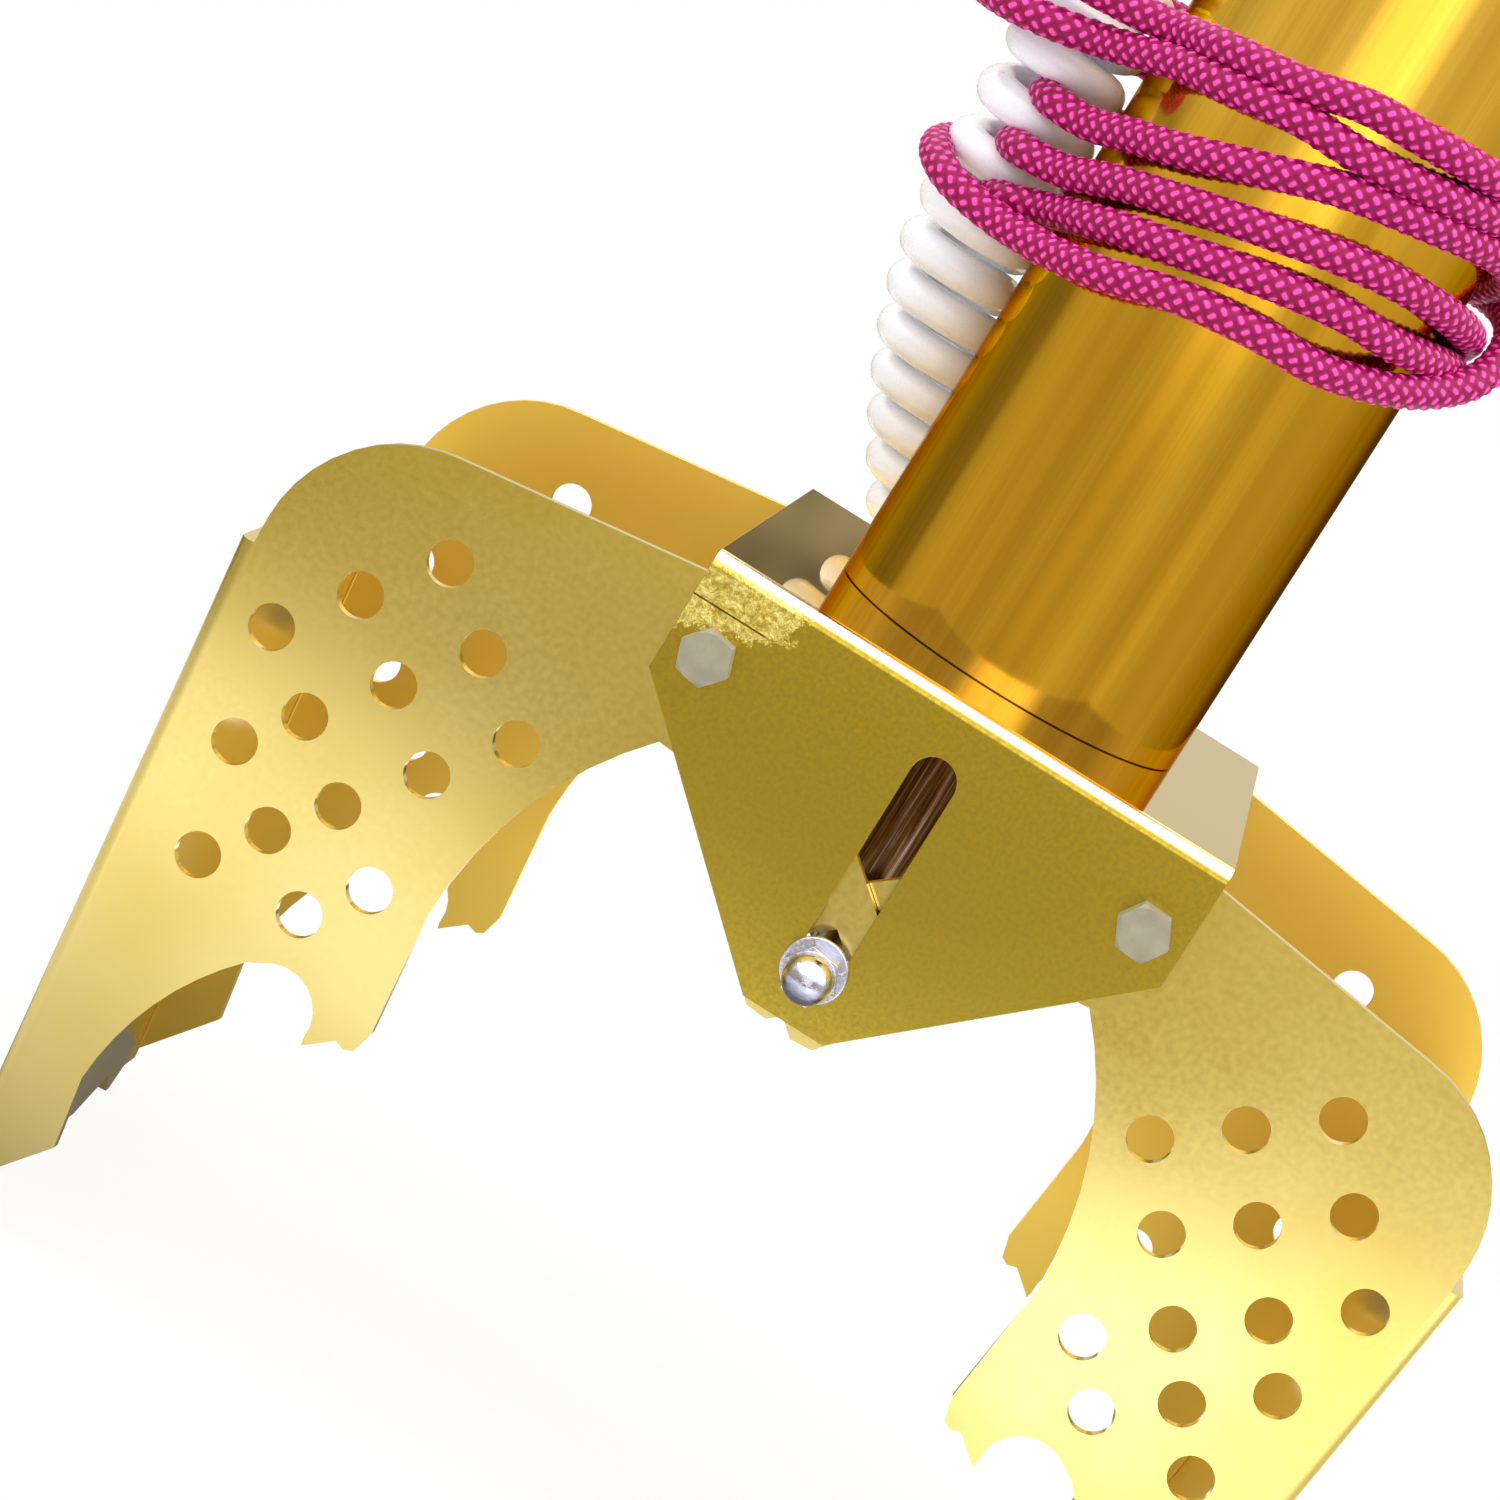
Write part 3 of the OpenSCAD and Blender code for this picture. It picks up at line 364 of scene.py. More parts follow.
def braided_polyester(node):
    """Braided polyester: twelve yarns, six each way, over one and under one; satin, with raised picks.

    The rope's UV map has the turns round the rope in U and the braid's leads along it in V."""
    c = colours()
    x, y, _ = node("ShaderNodeSeparateXYZ", [node("ShaderNodeUVMap", uv_map="braid")]).outputs
    yarns, cells, profiles = [], [], []
    for lay in (1.0, -1.0):
        turn = node("ShaderNodeMath", [y, lay, x], operation="MULTIPLY_ADD")
        yarn = node("ShaderNodeMath", [turn, YARNS], operation="MULTIPLY")
        cells.append(node("ShaderNodeMath", [yarn], operation="FLOOR"))
        part = node("ShaderNodeMath", [yarn], operation="FRACT")
        off = node("ShaderNodeMath", [part, 2.0, -1.0], operation="MULTIPLY_ADD")
        yarns.append(node("ShaderNodeMath", [off], operation="ABSOLUTE"))
    for power in (PICK_ACROSS, PICK_ALONG):
        for yarn in yarns:
            fall = node("ShaderNodeMath", [yarn, power], operation="POWER")
            profiles.append(node("ShaderNodeMath", [1.0, fall], operation="SUBTRACT"))
    over_one = node("ShaderNodeMath", [profiles[0], profiles[3]], operation="MULTIPLY")
    over_two = node("ShaderNodeMath", [profiles[1], profiles[2]], operation="MULTIPLY")
    both = node("ShaderNodeMath", [cells[0], cells[1]], operation="ADD")
    odd = node("ShaderNodeMath", [both, 1.0], operation="PINGPONG")
    pick = node("ShaderNodeMix", [odd, over_one, over_two], data_type="FLOAT")
    # Painted light: the picks' crests are painted pale pink as a highlight, and the valleys between them
    # darker, as shade
    tone = node(
        "ShaderNodeValToRGB", {"Fac": pick},
        [(0.1, darker(c.rope, 0.7)), (0.88, c.rope_pick_highlight), (0.5, c.rope), (0.7, linear("#B40A6C"))])
    fibre, fray = grain(node, piece_mm(node), 0.35, (0.35, 0.7), 0.0, 0.3)
    tone = node("ShaderNodeMix", [fray, tone, list(c.rope)], data_type="RGBA")
    relief = node("ShaderNodeBump", {"Height": fibre, "Distance": 0.05 * MM, "Strength": 0.6})
    return {
        "Base Color": tone, "Roughness": 0.5, "Specular IOR Level": 0.3, "Sheen Weight": 0.02,
        "Normal": relief}


# ---- Shapes --------------------------------------------------------------


def dressed(obj, material, body, replaced=()):
    """Gives a piece its finish and body, and hides the CAD nodes that it replaces."""
    obj.data.materials.clear()
    obj.data.materials.append(material)
    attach(obj, body)
    if replaced:
        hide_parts(*replaced)
    return obj


def mesh_object(name, mesh):
    obj = bpy.data.objects.new(name, mesh)
    bpy.context.scene.collection.objects.link(obj)
    return obj


def applied(obj):
    """The object with its modifiers applied."""
    raw = obj.data
    obj.data = bpy.data.meshes.new_from_object(obj.evaluated_get(bpy.context.evaluated_depsgraph_get()))
    obj.modifiers.clear()
    bpy.data.meshes.remove(raw)
    obj.data.name = obj.name
    return obj


def body_of(node):
    bodies = frame["record"]["behaviour"]["bodies"]
    return next(body for body, nodes in bodies.items() if node in nodes)


def softened(node, edge_mm):
    """A copy of a CAD node as one merged skin, its sharp edges broken by edge_mm and its flats kept flat."""
    bm = bmesh.new()
    bm.from_mesh(NODES[node].data)
    bmesh.ops.remove_doubles(bm, verts=bm.verts, dist=2e-6)
    bmesh.ops.dissolve_degenerate(bm, edges=bm.edges, dist=1e-6)
    bmesh.ops.dissolve_limit(
        bm, angle_limit=math.radians(0.5), verts=bm.verts, edges=bm.edges, delimit={"NORMAL"})
    mesh = bpy.data.meshes.new(node + "_finished")
    bm.to_mesh(mesh)
    bm.free()
    obj = mesh_object(node + "_finished", mesh)
    mesh.shade_smooth()
    if edge_mm:
        bevel = obj.modifiers.new("edge", "BEVEL")
        bevel.width = edge_mm * MM
        bevel.segments = 3
        bevel.limit_method = "ANGLE"
        bevel.angle_limit = math.radians(SHARP_DEG)
        bevel.miter_outer = "MITER_ARC"
    flat = obj.modifiers.new("flat", "WEIGHTED_NORMAL")
    flat.weight = 100
    flat.thresh = 0.001
    return applied(obj)


def finished(nodes, material, edge_mm):
    """Softened copies of the CAD nodes, each on its node's body, with its node hidden."""
    for node in nodes:
        dressed(softened(node, edge_mm), material, body_of(node), (node,))


FASTENER_INPUTS = {
    "Sides": "Int", "Corner": "Float", "Flat": "Float", "Height": "Float", "Socket": "Float",
    "Shank": "Float", "Length": "Float", "Material": "Material",
}


def fastener_tree():
    """A geometry tree that stands one fastener on each point, its head along the point's aim.

    The points carry aim (a direction) and turn (degrees about it). Six sides give a hex head."""
    tree = bpy.data.node_groups.new("fasteners", "GeometryNodeTree")
    tree.interface.new_socket("Geometry", in_out="INPUT", socket_type="NodeSocketGeometry")
    for label, kind in FASTENER_INPUTS.items():
        tree.interface.new_socket(label, in_out="INPUT", socket_type="NodeSocket" + kind)
    tree.interface.new_socket("Geometry", in_out="OUTPUT", socket_type="NodeSocketGeometry")
    node = partial(add, tree)
    given = node("NodeGroupInput").outputs

    def prism(sides, radius, depth, share):
        """A prism with its middle at a share of its depth."""
        middle = node("ShaderNodeMath", [depth, share], operation="MULTIPLY")
        rise = node("ShaderNodeCombineXYZ", {"Z": middle})
        solid = node("GeometryNodeMeshCylinder", {"Vertices": sides, "Radius": radius, "Depth": depth})
        return node("GeometryNodeTransform", {"Geometry": solid, "Translation": rise})

    # The head's top corners are turned off at 30 degrees
    head = prism(given["Sides"], given["Corner"], given["Height"], 0.5)
    spare = node("ShaderNodeMath", [given["Height"], 0.2 * MM], operation="ADD")
    waist = node("ShaderNodeMath", [given["Flat"], -0.35 * MM], operation="ADD")
    foot = node("ShaderNodeMath", [spare, math.sqrt(3), waist], operation="MULTIPLY_ADD")
    cone = node(
        "GeometryNodeMeshCone", {"Vertices": 48, "Radius Top": waist, "Radius Bottom": foot, "Depth": spare})
    turned = node("GeometryNodeMeshBoolean", {"Mesh 2": [head, cone]}, operation="INTERSECT")
    # A hex socket in the head, where the fastener has one
    key = prism(6, given["Socket"], given["Height"], 1.0)
    bored = node(
        "GeometryNodeMeshBoolean", {"Mesh 1": turned.outputs["Mesh"], "Mesh 2": key}, operation="DIFFERENCE")
    socketed = node("ShaderNodeMath", [given["Socket"], 0.0], operation="GREATER_THAN")
    whole = node(
        "GeometryNodeSwitch",
        {"Switch": socketed, "False": turned.outputs["Mesh"], "True": bored.outputs["Mesh"]},
        input_type="GEOMETRY")
    shank = prism(32, given["Shank"], given["Length"], -0.5)
    whole = node("GeometryNodeJoinGeometry", {"Geometry": [shank, whole]})
    aim = node("GeometryNodeInputNamedAttribute", {"Name": "aim"}, data_type="FLOAT_VECTOR")
    turn = node("GeometryNodeInputNamedAttribute", {"Name": "turn"}, data_type="FLOAT")
    faced = node("FunctionNodeAlignRotationToVector", {"Vector": aim.outputs["Attribute"]}, axis="Z")
    angle = node("ShaderNodeMath", [turn.outputs["Attribute"]], operation="RADIANS")
    about = node("ShaderNodeCombineXYZ", {"Z": angle})
    roll = node("FunctionNodeEulerToRotation", {"Euler": about})
    placed = node(
        "FunctionNodeRotateRotation", {"Rotation": faced, "Rotate By": roll}, rotation_space="LOCAL")
    spread = node(
        "GeometryNodeInstanceOnPoints", {"Points": given["Geometry"], "Instance": whole, "Rotation": placed})
    real = node("GeometryNodeRealizeInstances", {"Geometry": spread})
    dressed_up = node("GeometryNodeSetMaterial", {"Geometry": real, "Material": given["Material"]})
    node("NodeGroupOutput", {"Geometry": dressed_up})
    return tree


def fasteners(name, nodes, places, material, **given):
    """Fasteners as one mesh that replaces the nodes.

    Each place is the middle of a seat, the head's aim and its turn in degrees."""
    mesh = bpy.data.meshes.new(name)
    mesh.from_pydata([Vector(seat) * MM for seat, _, _ in places], [], [])
    mesh.attributes.new("aim", "FLOAT_VECTOR", "POINT")
    mesh.attributes.new("turn", "FLOAT", "POINT")
    for i, (_, aim, turn) in enumerate(places):
        mesh.attributes["aim"].data[i].vector = aim
        mesh.attributes["turn"].data[i].value = turn
    obj = mesh_object(name, mesh)
    tree = bpy.data.node_groups.get("fasteners") or fastener_tree()
    grown = obj.modifiers.new("fasteners", "NODES")
    grown.node_group = tree
    for item in tree.interface.items_tree:
        if item.in_out == "INPUT" and item.name in given:
            grown[item.identifier] = given[item.name]
        elif item.name == "Material":
            grown[item.identifier] = material
    return dressed(applied(obj), material, body_of(nodes[0]), nodes)


def blend(p, q, start, end, at):
    """p at start, q at end, and evenly between them."""
    return p * ((end - at) / (end - start)) + q * ((at - start) / (end - start))


def through(points, step_mm):
    """Points at even steps along the smooth curve through the given ones, which makes no loops."""
    pts = [Vector(p) for p in points]
    pts = [2 * pts[0] - pts[1]] + pts + [2 * pts[-1] - pts[-2]]
    fine = []
    for a, b, c, d in zip(pts, pts[1:], pts[2:], pts[3:]):
        t = [0.0]
        for p, q in ((a, b), (b, c), (c, d)):
            t.append(t[-1] + max((q - p).length, 1e-6) ** 0.5)
        for k in range(CURVE_STEPS):
            s = t[1] + (t[2] - t[1]) * k / CURVE_STEPS
            first, middle = blend(a, b, t[0], t[1], s), blend(b, c, t[1], t[2], s)
            last = blend(c, d, t[2], t[3], s)
            before, after = blend(first, middle, t[0], t[2], s), blend(middle, last, t[1], t[3], s)
            fine.append(blend(before, after, t[1], t[2], s))
    fine.append(pts[-2])
    out, left = [fine[0]], step_mm
    for p, q in zip(fine, fine[1:]):
        gap = (q - p).length
        while gap >= left > 0:
            p = p.lerp(q, left / gap)
            out.append(p.copy())
            gap = (q - p).length
            left = step_mm
        left -= gap
    out.append(fine[-1])
    if len(out) > 2 and (out[-1] - out[-2]).length < 0.4 * step_mm:
        out.pop(-2)
    return out


def length_of(points):
    return sum((q - p).length for p, q in zip(points, points[1:]))


def tube_along(name, points, radius_at, sides, lead_mm=None):
    """A closed tube along points in mm. radius_at(distance, angle) is in mm.

    Its UV map, where a lead is given, has the turns in U and the leads in V."""
    bm = bmesh.new()
    layer = bm.loops.layers.uv.new("braid") if lead_mm else None
    tangents = []
    for i, p in enumerate(points):
        ahead, behind = points[min(i + 1, len(points) - 1)], points[max(i - 1, 0)]
        tangents.append((ahead - behind).normalized())
    side = tangents[0].orthogonal().normalized()
    rings, along, gone = [], [], 0.0
    for i, (p, t) in enumerate(zip(points, tangents)):
        if i:
            gone += (p - points[i - 1]).length
            side = (side - t * side.dot(t)).normalized()
        up = t.cross(side)
        ring = []
        for k in range(sides):
            a = 2 * math.pi * k / sides
            r = radius_at(gone, a)
            ring.append(bm.verts.new((p + r * (math.cos(a) * side + math.sin(a) * up)) * MM))
        rings.append(ring)
        along.append(gone)
    for i in range(len(rings) - 1):
        for k in range(sides):
            n = (k + 1) % sides
            face = bm.faces.new((rings[i][k], rings[i][n], rings[i + 1][n], rings[i + 1][k]))
            face.smooth = True
            if layer:
                spots = ((k, i), (k + 1, i), (k + 1, i + 1), (k, i + 1))
                for loop, (u, v) in zip(face.loops, spots):
                    loop[layer].uv = (u / sides, along[v] / lead_mm)
    for ring, centre, flip in ((rings[0], points[0], True), (rings[-1], points[-1], False)):
        tip = bm.verts.new(centre * MM)
        for k in range(sides):
            n = (k + 1) % sides
            face = bm.faces.new((tip, ring[n], ring[k]) if flip else (tip, ring[k], ring[n]))
            face.smooth = True
            if layer:
                for loop in face.loops:
                    loop[layer].uv = (k / sides, (along[0] if flip else along[-1]) / lead_mm)
    bmesh.ops.recalc_face_normals(bm, faces=bm.faces)
    mesh = bpy.data.meshes.new(name)
    bm.to_mesh(mesh)
    bm.free()
    return mesh_object(name, mesh)


def round_tube(degrees, radius, height):
    a = math.radians(degrees)
    return Vector((radius * math.cos(a), radius * math.sin(a), height))


# ---- Curly cord ----------------------------------------------------------

# The curl's middle: angle round the housing, gap to the housing, height over the bracket
CURL_MARKS = [(129, 1, 12), (146, 0.7, 29), (164, 0.6, 48), (174, 0.6, 66), (178, 0.6, 88), (178, 1.5, 110)]
# Heights at which the turns pass the front: close turns below, spread by the rope above
CURL_FRONTS = [
    158.0, 164.6, 171.0, 177.8, 184.8, 191.9, 199.2, 206.4, 216.2, 225.4, 234.6, 242.0, 249.0, 256.0]
CURL_STEPS = 14
CURL_TILT = 1.1
GLAND, PLUG = (-16.454, 9.5), (0, 41, 4.6)
# The lead's points from the gland's foot, then from the middle of the cap's top into the first turn
CORD_LEAD = [
    (0, 0, 10.2), (0, 0, 14), (-0.8, 0, 18), (-3.8, 0, 21.4), (-9.5, 0, 22.6), (-15.5, -0.8, 20.6),
    (-21, -2.2, 15), (-25.8, -4.2, 7), (-29.4, -6.2, -2), (-32, -8, -10), (-33, -9.2, -16.5)]
CURL_JOIN = [(-49.6, -0.2, -20.4), (-48.4, -3, -23.9), (-45.7, -5.3, -26.1)]


def curl_middle(height):
    """The curl's axis at a height in mm."""
    rise, marks = height - BASE_Z, CURL_MARKS
    low = max(i for i in range(len(marks) - 1) if i == 0 or marks[i][2] <= rise)
    a, b = marks[low], marks[low + 1]
    angle, gap = (blend(a[i], b[i], a[2], b[2], rise) for i in (0, 1))
    return round_tube(angle, TUBE_R + millimetres("curl_d") / 2 + gap, height)


def cord_route():
    """From the gland, over the cap's edge, down the curl and on to the plug."""
    ring = (millimetres("curl_d") - millimetres("cable_d")) / 2
    lead = [Vector((*GLAND, CAP_Z)) + Vector(p) for p in CORD_LEAD]
    lead += [Vector((0, 0, CAP_Z)) + Vector(p) for p in CURL_JOIN]
    turns = []
    fronts = list(reversed(CURL_FRONTS))
    for high, low in zip(fronts, fronts[1:]):
        for k in range(CURL_STEPS):
            t = k / CURL_STEPS
            around = 270 + 360 * t
            tilt = CURL_TILT * math.cos(math.radians(around))
            turns.append(curl_middle(high + (low - high) * t) + round_tube(around, ring, tilt))
    turns.append(curl_middle(fronts[-1]) + round_tube(270, ring, 0))
    plug = Vector((PLUG[0], PLUG[1], BASE_Z + PLUG[2]))
    leaving = turns[-1]
    tail = [leaving + Vector((4.6, 1.8, -0.7)), leaving + Vector((9, 5.9, -1.4)),
            plug + Vector((-7, -1.6, 0.5)), plug]
    return lead + turns + tail


def dress_cord():
    c = colours()
    cable = millimetres("cable_d")
    line = through(cord_route(), 1.7)
    piece = tube_along("curly_cable", line, lambda distance, angle: cable / 2, 20)
    jacket = finish_of("polyurethane_jacket", moulded(c.cable, 0.3, 0.96, 0.3))
    dressed(piece, jacket, "housing", ("cable_lead", "curly_cord", "cable_tail"))
    # A tapered sleeve where the cable leaves the gland
    relief = tube_along(
        "strain_relief", through(line[:8], 0.8),
        lambda distance, angle: cable / 2 + 0.3 + 1.9 * max(0.0, 1 - distance / 11) ** 0.7, 28)
    dressed(relief, finish_of("moulded_sleeve", moulded(c.nylon, 0.45, 0.8)), "housing", ())
    finished(["cable_plug"], finish_of("moulded_plug", moulded(linear("#ECEAE2"), 0.35)), 0.5)
    finished(["plug_pins"], finish_of("tinned_pins", plated(linear("#C9CCD2"), 0.2, 0.3, 0.3)), 0.1)


# ---- Rope ----------------------------------------------------------------

# The rope's turns from the top down, left to right in front, then round the back (mm)
ROPE_TURNS = [
    # lead, from the hitch over the cap's edge and down the back
    (4, 7.5, 292), (6, 16, 291.4), (8, 26, 290.2), (9.5, 31.3, 287.4), (10, 33.4, 282), (10, 33.5, 274),
    (8, 33.2, 264), (0, 33.5, 257), (-12, 31.5, 252.5), (-26, 24, 249.5), (-48, 17, 248.5), (-57, 5, 248),
    (-56, -6, 247.5), (-47.5, -13.6, 247), (-38, -15.2, 247.3),
    # first turn
    (-28.5, -17.5, 248.5), (-19.6, -26.6, 250), (-8.7, -31.9, 251.2), (1.4, -33, 253.3), (12.5, -30.6, 253.7),
    (23.7, -23, 254), (31.3, -10.4, 253.6), (33, 2, 252), (29.5, 15, 250), (20, 26.5, 247.5), (6, 32.6, 245),
    (-10, 31.8, 242.8), (-26, 24.5, 241.2), (-46, 17.5, 239.8), (-56.2, 7, 239), (-57.6, -3, 238.6),
    (-51.5, -11.6, 238.7),
    # second turn
    (-44.8, -14, 239.6), (-36.5, -13.8, 241.3), (-25.6, -21, 244.3), (-16.7, -28.6, 245.5),
    (-6, -32.5, 246.9), (5.4, -32.6, 246.8), (16.3, -28.8, 247.8), (26.8, -19.3, 249.3), (32.5, -6, 249),
    (32.5, 7, 246), (27, 19, 242), (16.5, 28.6, 238), (3, 33, 234.5), (-12, 31, 232), (-27, 21, 230.6),
    (-39, 6, 229.6), (-41.5, -3.5, 229.6), (-38.6, -10.5, 229.4),
    # third turn, out of the curl between two of its turns
    (-32.6, -14.6, 229.6), (-25.9, -20.8, 231.7), (-18.6, -27.3, 233.8), (-7.1, -32.3, 237.7),
    (4.4, -32.8, 241.2), (16.9, -28.4, 243.3), (28.6, -16.6, 244.6), (33, -4, 243.5), (32, 8.5, 240),
    (25.5, 21, 235.5), (14, 30, 231), (0, 33, 227), (-14, 30.2, 223.6), (-28, 20, 221.4), (-39.5, 6.5, 220.4),
    (-42, -3, 220.6), (-39, -10.4, 220.8),
    # fourth turn
    (-32.5, -14.6, 221.6), (-24, -22.7, 224.8), (-14.6, -29.7, 227.6), (-2.5, -33, 230.5),
    (9.6, -31.7, 232.9), (20.5, -25.9, 233.9), (29.4, -15, 233.2), (33, -2.5, 231.4), (31, 11.5, 228),
    (22.5, 24.5, 223.8), (8, 32.2, 219.6), (-8, 32.2, 215.8), (-24, 24, 213.2), (-37.5, 10.5, 211.9),
    (-41, 0.5, 212), (-37.5, -9, 213.2),
    # fifth turn, under the sixth where it starts
    (-30.8, -13.4, 215.6), (-23.7, -22.9, 218.2), (-18.3, -27.5, 219.9), (-10.8, -31.3, 221.6),
    (1.4, -33.1, 224.3), (14, -30, 226), (23.3, -23.4, 225.8), (30.4, -13, 226.3), (33, -1, 226),
    (30.5, 13, 223.5), (22, 25, 220.5), (8, 32.8, 218.4), (-8, 34.5, 217.6), (-26, 30.5, 217.2),
    (-41, 21.5, 216.8), (-49.4, 12, 216), (-52, 3.5, 214.6), (-51, -4, 213.2),
    # sixth turn, round the outside of the curl
    (-47.4, -9.8, 211.6), (-42.2, -13, 210.6), (-35.4, -15.6, 210.1), (-26.8, -22, 210.8),
    (-18.8, -28.6, 212.5), (-7.1, -32.6, 215.8), (5.8, -32.6, 217.3), (15, -29.5, 217.3), (25, -22.6, 219.4),
    (31.9, -15.5, 222.4), (36.6, -9.5, 226.4), (38.6, -3, 231.2), (38.2, 4.5, 235.4), (35.2, 14, 237.6),
    (27.5, 25.6, 237.8), (15, 35, 236.4), (2, 38.2, 234.6), (-8, 37.6, 233.4),
]


def pick_height(distance, angle, lead_mm):
    """1 on the rope's raised picks, 0 in its valleys, as the finish draws them."""
    u, v = angle / (2 * math.pi), distance / lead_mm
    one, two = YARNS * (u + v), YARNS * (u - v)
    across, along = (one, two) if (math.floor(one) + math.floor(two)) % 2 == 0 else (two, one)
    return (1 - abs(2 * (across % 1) - 1) ** PICK_ACROSS) * (1 - abs(2 * (along % 1) - 1) ** PICK_ALONG)


def rope_along(name, points, ends_mm):
    """A braided rope along points; its ends are whipped to half their size over ends_mm."""
    lead, radius, pick = millimetres("braid_lead"), millimetres("rope_d") / 2, millimetres("pick")
    total = length_of(points)

    def profile(distance, angle):
        tip = min(1.0, 0.5 + 0.5 * min(distance, total - distance) / ends_mm) if ends_mm else 1.0
        return (radius - pick * (1 - pick_height(distance, angle, lead))) * tip

    return tube_along(name, points, profile, 40, lead)


def dress_rope():
    line = through(ROPE_TURNS, 0.7)
    yarn = finish_of("braided_polyester", braided_polyester)
    piece = rope_along("hanging_rope", line, 1.5)
    dressed(piece, yarn, "housing", ("rope_wrap", "rope_lead"))
    # The hitch: one turn round the eye's stem, above its washer
    stem = 4.2 + millimetres("rope_d") / 2
    high = CAP_Z + 2.2 + millimetres("rope_d") / 2
    ring = [round_tube(60 - a, stem + 0.2, high) for a in range(0, 356, 15)]
    hitch = rope_along("rope_hitch", through(ring, 0.7), 0)
    dressed(hitch, yarn, "housing", ("rope_knot",))
    millimetres("rope_d") * MM


# ---- Studio --------------------------------------------------------------

CAMERA_AT = (0.00603, -0.69718, 0.25823)
CAMERA_TURN = (76.7033, -30.9108, 9.6800)
SENSOR_MM, LENS_MM = 36.0, 108.0
# What shiny metal shows of the room beyond the paper: degrees round from +X to +Y, and brightness
ROOM = [
    (-180, 0.75), (180, 0.75), (-172, 1.0), (-168, 1.05), (-152, 0.97), (-135, 0.95), (-119, 0.86),
    (-103, 0.97), (-95, 1.2), (-86, 1.03), (-70, 1.1), (-54, 0.93), (-45, 1.0), (-37, 1.2), (-21, 1.03),
    (-5, 1.12), (11, 1.0), (28, 0.8), (44, 0.65), (60, 0.35), (76, 0.22), (90, 0.25), (105, 0.8),
    (125, 0.9), (143, 0.7), (152, 0.5), (165, 0.42), (176, 0.5)]
# The same in front, over the horizon: height in the world's unit sphere, and brightness
SKY_AHEAD = [(0.0, 0.32), (1.0, 1.0), (0.06, 0.3), (0.13, 0.13), (0.25, 0.28), (0.62, 1.0)]
# The window: degrees round from +X to its middle, and degrees to each side where it begins to fade and ends
WINDOW_AT, WINDOW_FULL, WINDOW_END = -86, 9, 28


def place_camera():
    """Looks slightly down at the front plate, rolled so that the grab leans over."""
    data = bpy.data.cameras.new("camera")
    data.sensor_width, data.lens = SENSOR_MM, LENS_MM
    data.clip_start, data.clip_end = 0.05, 60.0
    camera = bpy.data.objects.new("camera", data)
    camera.location = CAMERA_AT
    camera.rotation_euler = [math.radians(a) for a in CAMERA_TURN]
    bpy.context.scene.collection.objects.link(camera)
    bpy.context.scene.camera = camera


def window_share(node, where):
    """1 towards the bright window that the polished tube shows, 0 elsewhere."""
    x, y, _ = node("ShaderNodeSeparateXYZ", [where]).outputs
    around = node("ShaderNodeMath", [y, x], operation="ARCTAN2")
    off = node("ShaderNodeMath", [around, -math.radians(WINDOW_AT)], operation="ADD")
    off = node("ShaderNodeMath", [off], operation="ABSOLUTE")
    reach = [math.radians(a) for a in (WINDOW_FULL, WINDOW_END)]
    return node("ShaderNodeMapRange", [off, *reach, 1.0, 0.0], interpolation_type="SMOOTHSTEP")


